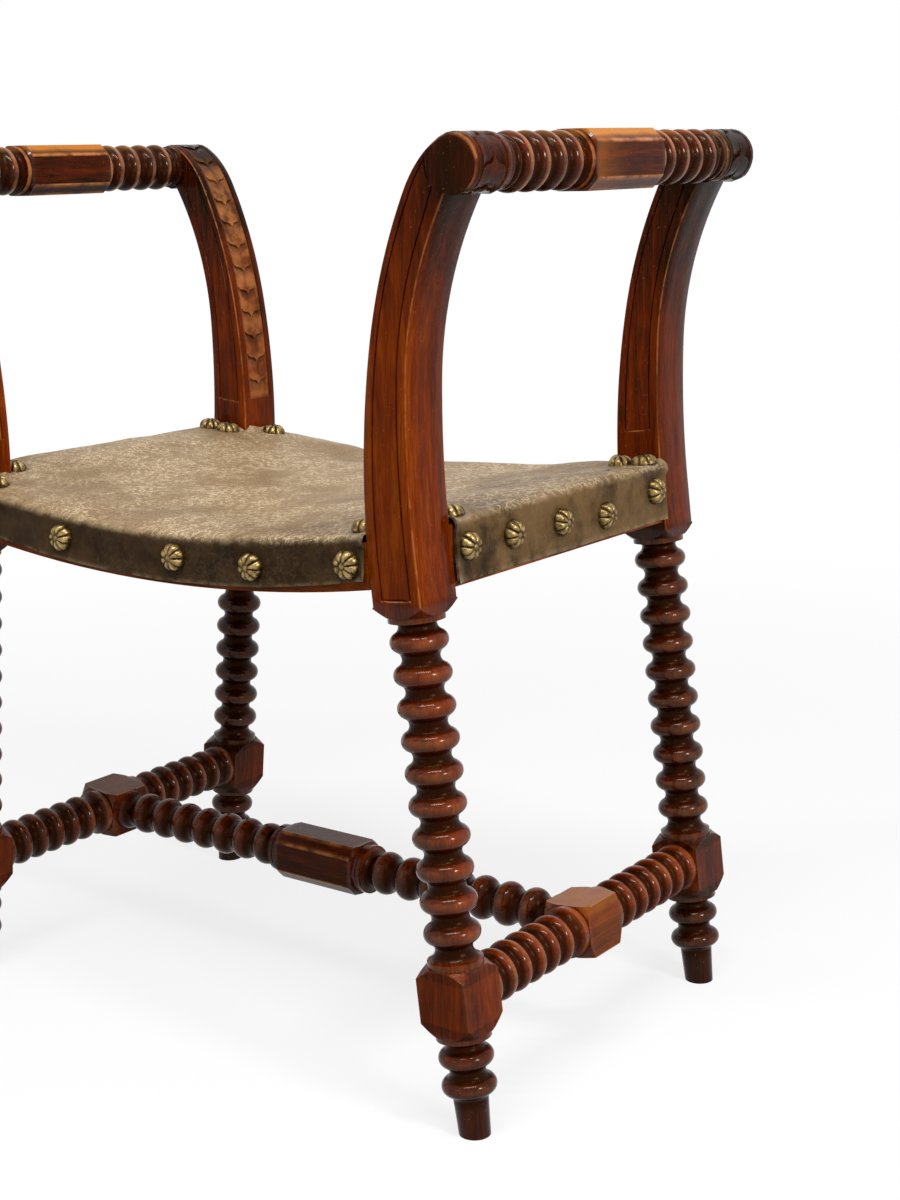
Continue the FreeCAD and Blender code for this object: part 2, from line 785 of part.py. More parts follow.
bind(saw_core, Radius="Sizes.tenon_radius")
saw_core.Height = cross_end + overrun
saw_core.Placement = Placement(cross_place, Rotation(UP, ALONG))
saw_right = cut("saw_right", saw_block, [saw_core])
saw_left = mirror("saw_left", saw_right, ALONG)
node("cross_stretcher", cut("cross_stretcher", cross_spindle, [saw_right, saw_left]))


# The seat frame: curved rails in front and behind, straight ones at the sides

def seat_arc(left, right, level, curve=seat_rise):
    """An arc of one of the seat's curves between two places, at a level in the middle."""
    middle = (left + right) / 2
    return arc((left, level + curve(left)), (middle, level + curve(middle)),
               (right, level + curve(right)))


def long_rail(name, middle):
    """A curved seat rail whose shoulders follow the posts, and its tenons."""
    body = doc.addObject("PartDesign::Body", name)
    top = rail_end_top[0] - shoulder_gap
    bottom = rail_end_bottom[0] - shoulder_gap
    outline = sketch(body, "XZ_Plane", name + "_outline", [
        seat_arc(-top, top, rail_top),
        line((top, rail_top + seat_rise(top)), (bottom, rail_low + rail_rise(bottom))),
        seat_arc(bottom, -bottom, rail_low, rail_rise),
        line((-bottom, rail_low + rail_rise(bottom)), (-top, rail_top + seat_rise(top))),
    ])
    pad(body, outline, name + "_thickness", "Sizes.rail_thickness")
    for side in (-1, 1):
        root = side * (top - size("rail_tenon_length"))
        tip = side * tenon_reach
        tenon = sketch(body, "XZ_Plane", "%s_tenon_%d" % (name, 1 + (side > 0)), polygon(
            [(root, tenon_low), (tip, tenon_low), (tip, tenon_high), (root, tenon_high)]))
        pad(body, tenon, "%s_tenon_length_%d" % (name, 1 + (side > 0)),
            "Sizes.rail_tenon_thickness")
    body.Placement = Placement(ACROSS * middle, Rotation())
    return body


def side_rail(name):
    """A straight seat rail whose top follows the seat's curve, and its tenons."""
    body = doc.addObject("PartDesign::Body", name)
    outline = sketch(body, "XZ_Plane", name + "_outline", polygon([
        (side_inside, side_low), (side_outside, side_low),
        (side_outside, side_level + seat_rise(side_outside)),
        (side_inside, side_level + seat_rise(side_inside))]))
    pad(body, outline, name + "_length",
        "2 * (Sizes.frame_reach - Sizes.leg_stock / 2 - Sizes.joint_gap)")
    tenons = sketch(body, "XZ_Plane", name + "_tenons", polygon([
        (side_middle - half_tenon, tenon_low), (side_middle + half_tenon, tenon_low),
        (side_middle + half_tenon, tenon_high), (side_middle - half_tenon, tenon_high)]))
    pad(body, tenons, name + "_tenon_length",
        "2 * (Sizes.frame_reach - Sizes.leg_stock / 2 + Sizes.rail_tenon_length)")
    return body


node("seat_rail_front", long_rail("seat_rail_front", -front_middle))
node("seat_rail_rear", long_rail("seat_rail_rear", front_middle))
seat_rail_right = node("seat_rail_right", side_rail("seat_rail_right"))
node("seat_rail_left", mirror("seat_rail_left", seat_rail_right, ALONG))


# The corner blocks, screwed into the rails inside each post

def corners(name, source):
    """A sub-part of the front right corner and its mirror images in the other three."""
    node(name + "_front_right", source)
    rear = node(name + "_rear_right", mirror(name + "_rear_right", source, ACROSS))
    node(name + "_front_left", mirror(name + "_front_left", source, ALONG))
    node(name + "_rear_left", mirror(name + "_rear_left", rear, ALONG))


block_toe = post_inner - size("corner_block_reach")
block_heel = inner_face - size("corner_block_reach")
block_top = rail_top + seat_rise(block_toe) - gap
corner_block = doc.addObject("PartDesign::Body", "corner_block")
corner_block_plan = sketch(corner_block, "XY_Plane", "corner_block_plan", polygon([
    (block_toe, -front_inside + gap),
    (post_inner - gap, -front_inside + gap),
    (post_inner - gap, -inner_face + gap),
    (side_inside - gap, -inner_face + gap),
    (side_inside - gap, -block_heel),
]), block_top - size("corner_block_height"))
pad(corner_block, corner_block_plan, "corner_block_thickness", "Sizes.corner_block_height",
    midplane=False)
corners("corner_block", corner_block)

screw_half = Turning(-size("screw_length"), size("screw_radius") / 2)
screw_half.to(screw_half.at[1] + size("screw_radius") * 2, size("screw_radius"))
screw_half.to(0.0, size("screw_radius"))
screw_half.to(0.0, size("screw_head_radius"))
screw_half.swell(size("screw_head_height"), size("screw_head_radius") / 2, BEAD_SHARE / 2)
screw = turned_body("corner_block_screw", screw_half.closed())
long_face = Vector(side_inside - gap - block_toe, -block_heel + front_inside - gap, 0)
face_middle = Vector(block_toe, -front_inside + gap, block_top
                     - size("corner_block_height") / 2) + long_face / 2
face_along = Vector(long_face).normalize()
face_out = face_along.cross(UP) * -1


def screw_placements():
    for side, end in ((-1, -1), (-1, 1), (1, -1), (1, 1)):
        for place in (-1, 1):
            head = face_middle + face_along * (place * size("screw_spacing") / 2)
            yield Placement(Vector(head.x * side, head.y * end, head.z),
                            Rotation(UP, Vector(face_out.x * side, face_out.y * end, 0)))


node("corner_block_screws", group("corner_block_screws", screw, list(screw_placements())))


# The webbing: straps from front to rear, others across them, and their tacks

def curved_strip(name, left, right, level, thickness, length):
    """A strip of cloth that follows the seat's curve along X and is straight along Y."""
    body = doc.addObject("PartDesign::Body", name)
    outline = sketch(body, "XZ_Plane", name + "_outline", [
        seat_arc(left, right, level),
        line((right, level + seat_rise(right)), (right, level + thickness + seat_rise(right))),
        seat_arc(right, left, level + thickness),
        line((left, level + thickness + seat_rise(left)), (left, level + seat_rise(left))),
    ])
    pad(body, outline, name + "_length", length)
    return body


def row(count, spacing):
    """Places in a row about the middle."""
    return [(index - (count - 1) / 2) * spacing for index in range(count)]


half_strap = size("strap_width") / 2
long_spacing, cross_spacing = STRAP_SPACING_SHARES
long_places = row(LONG_STRAP_COUNT, long_spacing * post_inner)
cross_places = row(CROSS_STRAP_COUNT, cross_spacing * size("frame_reach"))
for number, place in enumerate(long_places, start=1):
    node("webbing_long_%d" % number, curved_strip(
        "webbing_long_%d" % number, place - half_strap, place + half_strap, long_level,
        size("strap_thickness"), "2 * (Sizes.frame_reach + Sizes.leg_stock / 2"
        " - Sizes.rail_thickness / 2 + Sizes.strap_tail)"))
cross_strap_reach = side_middle + size("strap_tail")
for number, place in enumerate(cross_places, start=1):
    strap = node("webbing_cross_%d" % number, curved_strip(
        "webbing_cross_%d" % number, -cross_strap_reach, cross_strap_reach, cross_level,
        size("strap_thickness"), "Sizes.strap_width"))
    strap.Placement = Placement(ACROSS * place, Rotation())


def seat_normal(reach):
    """The upward normal of the seat's curve."""
    radius = size("seat_curve_radius")
    return Vector(-reach / radius, 0, math.sqrt(1 - (reach / radius) ** 2))


tack_half = Turning(-size("tack_length"), size("tack_radius") / 2)
tack_half.to(-size("tack_length") / 2, size("tack_radius"))
tack_half.to(0.0, size("tack_radius"))
tack_half.to(0.0, size("tack_head_radius"))
tack_half.to(size("tack_head_height"), size("tack_head_radius") - size("tack_head_height"))
tack = turned_body("webbing_tack", tack_half.closed())


def tack_placements():
    tack_row = row(TACK_ROW_COUNT, size("tack_spacing"))
    for side in (-1, 1):
        for place in long_places:
            for step in tack_row:
                reach = place + step
                level = long_level + size("strap_thickness") + seat_rise(reach)
                yield Placement(Vector(reach, side * front_middle, level),
                                Rotation(UP, seat_normal(reach)))
        for place in cross_places:
            for step in tack_row:
                reach = side * side_middle
                level = cross_level + size("strap_thickness") + seat_rise(reach)
                yield Placement(Vector(reach, place + step, level),
                                Rotation(UP, seat_normal(reach)))


node("webbing_tacks", group("webbing_tacks", tack, list(tack_placements())))


# The cloth, the stuffing and the leather, which are all cut out round the posts

def post_notches(name, margin):
    """Tools that cut a layer of the seat away round the four posts."""
    tools = []
    low = rail_low - stock
    high = size("seat_height") + seat_rise(side_outside) + stock
    for side in (-1, 1):
        for end in (-1, 1):
            near = Vector(side * (post_inner - margin), end * (inner_face - margin), low)
            far = Vector(side * (side_outside + stock), end * (outer_face + stock), high)
            tools.append(box("%s_%d" % (name, len(tools) + 1),
                             Vector(min(near.x, far.x), min(near.y, far.y), low),
                             Vector(max(near.x, far.x), max(near.y, far.y), high)))
    return tools


cloth_reach = side_outside - size("hessian_margin")
hessian_sheet = curved_strip(
    "hessian_sheet", -cloth_reach, cloth_reach, cloth_level, size("hessian_thickness"),
    "2 * (Sizes.frame_reach + Sizes.leg_stock / 2 - Sizes.hessian_margin)")
node("hessian", cut("hessian", hessian_sheet, post_notches("hessian_notch", gap)))

side_plane = side_outside + size("leather_set_out")
front_plane = outer_face + size("leather_set_out")
ridge_reach = side_plane - size("leather_round")
ridge_depth = front_plane - size("leather_round")
shoulder_reach = side_plane - size("crown_shoulder")
between_reach = (shoulder_reach + ridge_reach) / 2


def crown(depth):
    """How far the stuffing lifts the seat's middle line at a place across the stool."""
    return size("crown_height") * (1 - min(abs(depth) / ridge_depth, 1) ** CROWN_FALL_POWER)


def seat_top(reach, depth, share):
    """A point of the leather's top. share is the part of the crown that is left there."""
    return (reach, size("seat_height") + seat_rise(reach) + crown(depth) * share)


def mirrored(points):
    return [(-x, z) for x, z in points]


def lowered(points, drop):
    return [(x, z - drop) for x, z in points]


def cover_section(depth, inset, drop):
    """The edges of a section of the cover, inside its outer face by inset and lowered by drop."""
    corner = size("leather_round") - inset
    plane = side_plane - inset
    low = rail_low - overrun - inset
    top = lowered([seat_top(ridge_reach, depth, 0),
                   seat_top(between_reach, depth, CROWN_BETWEEN_SHARE),
                   seat_top(shoulder_reach, depth, CROWN_SHOULDER_SHARE)], inset + drop)
    crest = lowered([seat_top(0, depth, 1)], inset + drop)[0]
    ridge, between, shoulder = top
    wall_top = (plane, ridge[1] - corner)
    rounding = (ridge_reach + corner * math.sqrt(0.5), wall_top[1] + corner * math.sqrt(0.5))
    wall_foot = (plane, low)
    left_ridge, left_between, left_shoulder, left_wall_top, left_rounding, left_foot = mirrored(
        [ridge, between, shoulder, wall_top, rounding, wall_foot])
    return [
        line(wall_foot, wall_top),
        arc(wall_top, rounding, ridge),
        arc(ridge, between, shoulder),
        arc(shoulder, crest, left_shoulder),
        arc(left_shoulder, left_between, left_ridge),
        arc(left_ridge, left_rounding, left_wall_top),
        line(left_wall_top, left_foot),
        line(left_foot, wall_foot),
    ]


def pad_section(depth):
    """The edges of a section of the stuffing, between the cloth and the leather."""
    lower = size("leather_thickness") + layer_gap
    edge, shoulder, crest = lowered([
        seat_top(between_reach, depth, CROWN_BETWEEN_SHARE),
        seat_top(shoulder_reach, depth, CROWN_SHOULDER_SHARE), seat_top(0, depth, 1)], lower)
    level = cloth_top + layer_gap
    foot = (between_reach, level + seat_rise(between_reach))
    left_edge, left_shoulder, left_foot = mirrored([edge, shoulder, foot])
    return [
        line(foot, edge),
        line(edge, shoulder),
        arc(shoulder, crest, left_shoulder),
        line(left_shoulder, left_edge),
        line(left_edge, left_foot),
        seat_arc(-between_reach, between_reach, level),
    ]


crown_depths = sorted({side * share * ridge_depth for share in CROWN_STATION_SHARES
                       for side in (-1, 1)})


def loft_body(name, sections):
    """A body lofted through sections, given as pairs of a depth and a list of edges."""
    body = doc.addObject("PartDesign::Body", name)
    sketches = []
    for number, (depth, edges) in enumerate(sections, start=1):
        sketches.append(sketch(body, "XZ_Plane", "%s_section_%d" % (name, number), edges, -depth))
    loft = body.newObject("PartDesign::AdditiveLoft", name + "_loft")
    loft.Profile = sketches[0]
    loft.Sections = sketches[1:]
    loft.Ruled = True
    body.Tip = loft
    return body


def cover_body(name, inset):
    """The whole of the cover as a solid block, inside its outer face by inset."""
    corner = size("leather_round") - inset
    ends = [(ridge_depth + corner * (1 - inward), corner * down) for inward, down in ROUND_SHARES]
    sections = [(-depth, cover_section(depth, inset, drop)) for depth, drop in ends]
    sections += [(depth, cover_section(depth, inset, 0)) for depth in crown_depths]
    sections += [(depth, cover_section(depth, inset, drop)) for depth, drop in reversed(ends)]
    return loft_body(name, sections)


stuffing = loft_body("stuffing_block", [(depth, pad_section(depth)) for depth in crown_depths])
node("stuffing_pad", cut("stuffing_pad", stuffing,
                         post_notches("stuffing_notch", size("pad_margin")), refine=False))

hem_tool = doc.addObject("PartDesign::Body", "hem_tool")
hem_level = rail_low + size("hem_lift")
side_hem = side_low + size("hem_lift")
hem_far = side_plane + overrun
hem_low = rail_low - stock


def hem_rise(reach):
    return rise(size("hem_radius"), reach)


hem_outline = sketch(hem_tool, "XZ_Plane", "hem_outline", [
    line((-hem_far, hem_low), (hem_far, hem_low)),
    line((hem_far, hem_low), (hem_far, side_hem)),
    line((hem_far, side_hem), (post_inner, side_hem)),
    line((post_inner, side_hem), (post_inner, hem_level + hem_rise(post_inner))),
    seat_arc(post_inner, -post_inner, hem_level, hem_rise),
    line((-post_inner, hem_level + hem_rise(post_inner)), (-post_inner, side_hem)),
    line((-post_inner, side_hem), (-hem_far, side_hem)),
    line((-hem_far, side_hem), (-hem_far, hem_low)),
])
pad(hem_tool, hem_outline, "hem_length",
    "2 * (Sizes.frame_reach + Sizes.leg_stock + Sizes.tool_overrun)")
leather_skin = cut("leather_skin", cover_body("leather_outside", 0),
                   [cover_body("leather_inside", size("leather_thickness"))], refine=False)
node("leather_cover", cut("leather_cover", leather_skin,
                          post_notches("leather_notch", 2 * gap) + [hem_tool], refine=False))


# The brass nails, domed with a scalloped rim

nail_half = Turning(-size("nail_shank_length"), size("nail_shank_radius") / 2)
nail_half.to(nail_half.at[1] + size("nail_shank_radius") * 2, size("nail_shank_radius"))
nail_half.to(0.0, size("nail_shank_radius"))
nail_half.to(0.0, size("nail_radius"))
nail_half.to(size("nail_rim"), size("nail_radius"))
nail_edges = nail_half.edges[:]
dome_climb = size("nail_dome") - size("nail_rim")
dome_radius = (size("nail_radius") ** 2 + dome_climb ** 2) / (2 * dome_climb)
dome_angle = math.asin(size("nail_radius") / dome_radius) / 2
nail_edges.append(arc(nail_half.at, (dome_radius * math.sin(dome_angle), size("nail_dome")
                                     - dome_radius * (1 - math.cos(dome_angle))),
                      (0.0, size("nail_dome"))))
nail_edges.append(line((0.0, size("nail_dome")), nail_half.first))
nail = turned_body("brass_nail", nail_edges)
doc.recompute()
scallop_sketch = sketch(nail, "XY_Plane", "scallop_circle", [
    circle((size("nail_radius") + size("nail_scallop_radius") * SCALLOP_SHARE, 0),
           size("nail_scallop_radius"))])
scallop = nail.newObject("PartDesign::Pocket", "scallop")
scallop.Profile = scallop_sketch
scallop.SideType = "Symmetric"
bind(scallop, Length="4 * Sizes.nail_dome")
scallops = nail.newObject("PartDesign::PolarPattern", "scallops")
scallops.Originals = [scallop]
scallops.Axis = (scallop_sketch, ["N_Axis"])
scallops.Angle = FULL_TURN
scallops.Occurrences = NAIL_PETALS
nail.Tip = scallops


def edge_nails(name, shares, half_width, placed):
    """The nails along one side of the seat. placed gives their point from their place and lift."""
    placements = []
    for place, lift in shares:
        placements.append(placed(place * half_width, lift * size("nail_radius")))
    node(name, group(name, nail, placements))


def front_nail(reach, lift, side=-1):
    height = size("seat_height") - size("front_nail_drop") + seat_rise(reach) + lift
    return Placement(Vector(reach, side * front_plane, height), Rotation(UP, ACROSS * side))


def rear_nail(reach, lift):
    return front_nail(reach, lift, side=1)


def right_nail(depth, lift, side=1):
    height = size("seat_height") + seat_rise(side_plane) - size("side_nail_drop") + lift
    return Placement(Vector(side * side_plane, depth, height), Rotation(UP, ALONG * side))


def left_nail(depth, lift):
    return right_nail(depth, lift, side=-1)


edge_nails("nails_front", FRONT_NAIL_SHARES, post_inner, front_nail)
edge_nails("nails_rear", REAR_NAIL_SHARES, post_inner, rear_nail)
edge_nails("nails_right", RIGHT_NAIL_SHARES, inner_face, right_nail)
edge_nails("nails_left", LEFT_NAIL_SHARES, inner_face, left_nail)


def on_top(reach, depth):
    """A placement on the leather's top, near its ridges, square to the seat's curve."""
    share = min(max((ridge_reach - reach) / (ridge_reach - shoulder_reach), 0), 1)
    place, height = seat_top(reach, depth, CROWN_SHOULDER_SHARE * share)
    return Placement(Vector(place, depth, height), Rotation(UP, seat_normal(reach)))


# Round each post: one nail beside its inner face, and two before it towards the middle.
beside_post = post_inner + size("nail_radius")
before_post = -(inner_face - size("corner_nail_margin"))
corners("nails_corner", group("nails_corner", nail, [
    on_top(post_inner - size("corner_nail_margin"),
           -(front_inside + size("rail_thickness") * CORNER_NAIL_SHARE)),
    on_top(beside_post, before_post),
    on_top(beside_post + 2 * size("nail_radius") + gap, before_post),
]))

pin_half = Turning(-size("pin_length"), size("pin_shank_radius") / 2)
pin_half.to(pin_half.at[1] + size("pin_shank_radius"), size("pin_shank_radius"))
pin_half.to(0.0, size("pin_shank_radius"))
pin_half.to(0.0, size("pin_radius"))
pin_half.swell(size("pin_head_height"), size("pin_radius") / 2, BEAD_SHARE / 2)
pin = turned_body("leather_pin", pin_half.closed())
node("leather_pins", group("leather_pins", pin, [
    on_top(post_inner + out * size("nail_radius"),
           -end * (before_post + inwards * size("nail_radius")))
    for end, out, inwards in PIN_PLACE_SHARES]))


# Every object is checked before anything is written

doc.recompute()
for thing in doc.Objects:
    if "Invalid" in thing.State or "Error" in thing.State:
        raise RuntimeError("%s failed: %s" % (thing.Name, thing.State))
for name, thing in nodes.items():
    if thing.Shape.isNull() or not thing.Shape.isValid() or not thing.Shape.Solids:
        raise RuntimeError("%s has no valid solid" % name)

os.makedirs("parts", exist_ok=True)
for name, thing in nodes.items():
    thing.Shape.exportStep("parts/%s.step" % name)
    reach = thing.Shape.optimalBoundingBox()
    print("%-28s %2d solid(s), %8.1f cm3, %6.1f x %6.1f x %6.1f mm" % (
        name, len(thing.Shape.Solids), thing.Shape.Volume / 1000,
        reach.XLength, reach.YLength, reach.ZLength))
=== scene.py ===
# %% [markdown]
# # An armed stool with turned legs and a nailed leather seat
#
# The stool stands on four legs. Each is turned in bobbins below the seat and sawn to a
# carved, outward curve above it. Turned rails join the rolls at the top, an H of turned
# stretchers ties the legs below, and a leather cover is nailed over four seat rails.
#
# The CAD model of the stool is the fixed frame. This lesson loads it, gives every node its
# finish, and replaces the nodes that need carving, cloth or leather with pieces of their own.

# %% Load the frame
import math
import random

import bmesh
import bpy
import numpy as np
from mathutils import Matrix, Vector, noise


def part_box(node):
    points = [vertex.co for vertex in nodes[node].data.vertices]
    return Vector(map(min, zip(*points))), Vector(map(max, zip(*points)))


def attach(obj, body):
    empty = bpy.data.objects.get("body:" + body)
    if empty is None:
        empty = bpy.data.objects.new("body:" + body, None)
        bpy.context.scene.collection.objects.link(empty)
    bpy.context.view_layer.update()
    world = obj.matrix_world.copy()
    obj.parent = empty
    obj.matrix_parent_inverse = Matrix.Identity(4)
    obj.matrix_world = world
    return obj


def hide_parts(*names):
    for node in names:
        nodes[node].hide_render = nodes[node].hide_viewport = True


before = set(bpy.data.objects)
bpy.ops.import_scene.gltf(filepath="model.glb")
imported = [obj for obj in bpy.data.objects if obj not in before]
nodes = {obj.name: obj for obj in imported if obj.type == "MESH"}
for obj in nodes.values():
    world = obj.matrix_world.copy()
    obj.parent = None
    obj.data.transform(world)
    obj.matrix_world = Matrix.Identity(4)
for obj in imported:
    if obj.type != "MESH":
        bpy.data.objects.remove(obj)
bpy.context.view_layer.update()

print("CAD nodes:", len(nodes))

# %% [markdown]
# ## Meshes from points
#
# A piece is worked out in millimetres and turned into metres when its mesh is made. Smooth
# shading alone would smear light over an arris, so edges that bend sharply are marked sharp.

# %% A helper that makes a piece
MM = 0.001
SHARP_ANGLE = math.radians(38)
MASKS = ("hollow", "crest")


def placed(name, data):
    """An object in the scene for a mesh, a camera or a lamp."""
    thing = bpy.data.objects.new(name, data)
    bpy.context.scene.collection.objects.link(thing)
    return thing


def make_piece(name, points, faces, finish, slot, replaced, angle=SHARP_ANGLE):
    """A mesh piece of the stool. A point is x, y, z in millimetres, and then its masks if any."""
    mesh = bpy.data.meshes.new(name)
    mesh.from_pydata([tuple(float(c) * MM for c in p[:3]) for p in points], [], faces)
    for mask, values in zip(MASKS, list(zip(*points))[3:]):
        layer = mesh.attributes.new(mask, "FLOAT", "POINT")
        layer.data.foreach_set("value", np.asarray(values, np.float32))
    work = bmesh.new()
    work.from_mesh(mesh)
    bmesh.ops.remove_doubles(work, verts=work.verts, dist=1e-6)
    bmesh.ops.dissolve_degenerate(work, edges=work.edges, dist=1e-6)
    bmesh.ops.recalc_face_normals(work, faces=work.faces)
    for face in work.faces:
        face.smooth = True
    for edge in work.edges:
        edge.smooth = len(edge.link_faces) == 2 and edge.calc_face_angle(0) < angle
    work.to_mesh(mesh)
    work.free()
    piece = placed(name, mesh)
    mesh.materials.append(finish)
    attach(piece, "root")
    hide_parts(*replaced)
    print(name, len(mesh.polygons), "faces")
    return piece


def grid_faces(rows, columns, keep=None):
    """The quads of a grid of points. keep(row, column) says which of them are there."""
    return [(r * columns + c, r * columns + c + 1, (r + 1) * columns + c + 1,
             (r + 1) * columns + c)
            for r in range(rows - 1) for c in range(columns - 1) if keep is None or keep(r, c)]


def without_corners(xs, ys, notch_x, notch_y):
    """A test for grid_faces that leaves the four corners out, beyond both notches."""
    def keep(row, column):
        x, y = (xs[column] + xs[column + 1]) / 2, (ys[row] + ys[row + 1]) / 2
        return abs(x) <= notch_x or abs(y) <= notch_y
    return keep


def tube_faces(rings, around, first=0):
    """The quads between rings of points that follow each other, each ring closed on itself."""
    return [(first + r * around + c, first + r * around + (c + 1) % around,
             first + (r + 1) * around + (c + 1) % around, first + (r + 1) * around + c)
            for r in range(rings - 1) for c in range(around)]


def used_only(points, faces):
    """The points that the faces use, and the faces with these points' new numbers."""
    used = sorted({corner for face in faces for corner in face})
    index_of = {old: new for new, old in enumerate(used)}
    return [points[k] for k in used], [tuple(index_of[k] for k in face) for face in faces]


def closed_shell(one, other, quads):
    """Points and faces of a shell between two layers of points that have the same quads."""
    count, sides = len(one), {}
    for quad in quads:
        for a, b in zip(quad, quad[1:] + quad[:1]):
            sides.setdefault(frozenset((a, b)), []).append((a, b))
    walls = [(b, a, a + count, b + count) for (a, b), *more in sides.values() if not more]
    back = [tuple(k + count for k in quad[::-1]) for quad in quads]
    return used_only(one + other, quads + back + walls)


print("piece helpers ready")

# %% [markdown]
# ## Shader maths as plain sums
#
# A procedural finish is mostly arithmetic on masks. The class below wraps one socket, so that
# an expression such as `1 - hollow * 0.5` adds its own Math nodes. Every other kind of node
# comes from its one method `node`.

# %% The wire class
class Wire:
    """One output socket of a material's nodes."""

    def __init__(self, socket):
        self.socket = socket

    def node(self, kind, settings=None, inputs=None):
        """Adds a node of a type, sets it, fills or links its sockets, and gives its output."""
        tree = self.socket.id_data
        made = tree.nodes.new("ShaderNode" + kind)
        settings = dict(settings or {})
        wanted = settings.pop("output", None)
        for number, (position, colour) in enumerate(settings.pop("stops", ())):
            ramp = made.color_ramp.elements
            stop = ramp[number] if number < 2 else ramp.new(position)
            stop.position = position
            stop.color = (*colour, 1)
        for name, value in settings.items():
            setattr(made, name, value)
        for key, value in (inputs or {}).items():
            socket = made.inputs[key] if isinstance(key, int) else next(
                s for s in made.inputs if s.name == key and s.enabled)
            if isinstance(value, Wire):
                tree.links.new(value.socket, socket)
            else:
                socket.default_value = (*value, 1) if socket.type == "RGBA" else value
        return Wire(next(s for s in made.outputs if s.enabled and wanted in (None, s.name)))

    def maths(self, operation, first, second):
        return self.node("Math", {"operation": operation}, {0: first, 1: second})

    def __add__(self, other):
        return self.maths("ADD", self, other)

    def __sub__(self, other):
        return self.maths("SUBTRACT", self, other)

    def __rsub__(self, other):
        return self.maths("SUBTRACT", other, self)

    def __mul__(self, other):
        return self.maths("MULTIPLY", self, other)

    __radd__ = __add__
    __rmul__ = __mul__


print("wire class ready")

# %% [markdown]
# ## A few words for finishes
#
# Finishes are built from the same few steps: noise at some scale, a value spread between two
# limits, a mix of two colours by a mask, and a bump. Each gets a short name here.

# %% Steps that the finishes share
def tint(red, green, blue):
    """A colour as it looks, from 0 to 255, in linear light."""
    return tuple(c / 255 / 12.92 if c < 11 else ((c / 255 + 0.055) / 1.055) ** 2.4
                 for c in (red, green, blue))


def new_finish(name, **fixed):
    """A material with its shader and a wire that gives the place on the piece."""
    material = bpy.data.materials.new(name)
    material.use_nodes = True
    shader = material.node_tree.nodes["Principled BSDF"]
    for socket, value in fixed.items():
        shader.inputs[socket.replace("_", " ")].default_value = value
    coordinates = material.node_tree.nodes.new("ShaderNodeTexCoord")
    return material, shader, Wire(coordinates.outputs["Object"])


def connect(node, **wires):
    for socket, wire in wires.items():
        wire.socket.id_data.links.new(wire.socket, node.inputs[socket.replace("_", " ")])


def grainy(place, scale, detail=3.0, stretch=(1, 1, 1), roughness=0.55):
    """Noise from 0 to 1. scale is features per metre, and stretch shortens it along each axis."""
    laid = place.node("Mapping", None, {"Vector": place, "Scale": stretch})
    return laid.node("TexNoise", {"output": "Fac"}, {
        "Vector": laid, "Scale": scale, "Detail": detail, "Roughness": roughness})


def spread(value, low, high, to_low=0.0, to_high=1.0):
    """A value taken smoothly from one pair of limits to another."""
    return value.node("MapRange", {"interpolation_type": "SMOOTHSTEP"}, {
        "Value": value, "From Min": low, "From Max": high, "To Min": to_low, "To Max": to_high})


def mixed(mask, under, over):
    """The colour under, covered with the colour over where the mask is 1."""
    return mask.node("Mix", {"data_type": "RGBA"}, {"Factor": mask, "A": under, "B": over})


def raised(height, strength, depth):
    """A normal that makes height look like relief of a depth in metres."""
    return height.node("Bump", None, {"Strength": strength, "Distance": depth, "Height": height})


def axis_part(place, output):
    return place.node("SeparateXYZ", {"output": output}, {"Vector": place})


def size_of(value):
    return value.node("Math", {"operation": "ABSOLUTE"}, {0: value})


def from_middle(place, axis):
    """How far a place lies from the stool's middle along an axis."""
    return size_of(axis_part(place, axis))


def stored(here):
    """The masks that a piece carries in its own mesh."""
    return tuple(here.node("Attribute", {"attribute_name": mask, "output": "Fac"})
                 for mask in MASKS)


def dress(start, finish):
    """Gives a finish to every CAD node whose name begins so."""
    dressed = [name for name in nodes if name.startswith(start)]
    for name in dressed:
        for material_slot in nodes[name].material_slots:
            material_slot.material = finish
    print(start, "dressed on", len(dressed), "nodes")


print("steps for finishes ready")

# %% [markdown]
# ## Stained and polished wood
#
# The real frame is a close-grained hardwood, stained red-brown and polished. The hollows of the
# turning are painted dark, partly for dirt and partly as painted shade, and hands and heels have
# rubbed the arrises and some of the blocks down to orange, which is also painted brighter on the
# crests as a painted highlight. So the finish needs two masks, `hollow` and `crest`. On a turned
# rail both come from one number, the distance from the rail's own axis. The turned parts still
# have their full polish, a coat over the stain that glints on their shoulders.

# %% The wood finish
DARK_STAIN = tint(24, 7, 2)
HOLLOW_DIRT_AND_SHADE = tint(40, 12, 2)
DEEP_STAIN = tint(78, 25, 5)
BODY_STAIN = tint(120, 43, 2)
WARM_STAIN = tint(158, 74, 6)
WORN_AND_HIGHLIGHT = tint(208, 132, 76)
NICK_COLOUR = tint(226, 182, 138)
GOLD_WORN = tint(180, 110, 36)
SHELLAC = (1.0, 0.6, 0.3, 1.0)
MIDDLE_TONE = 0.345
POLISH = 0.26


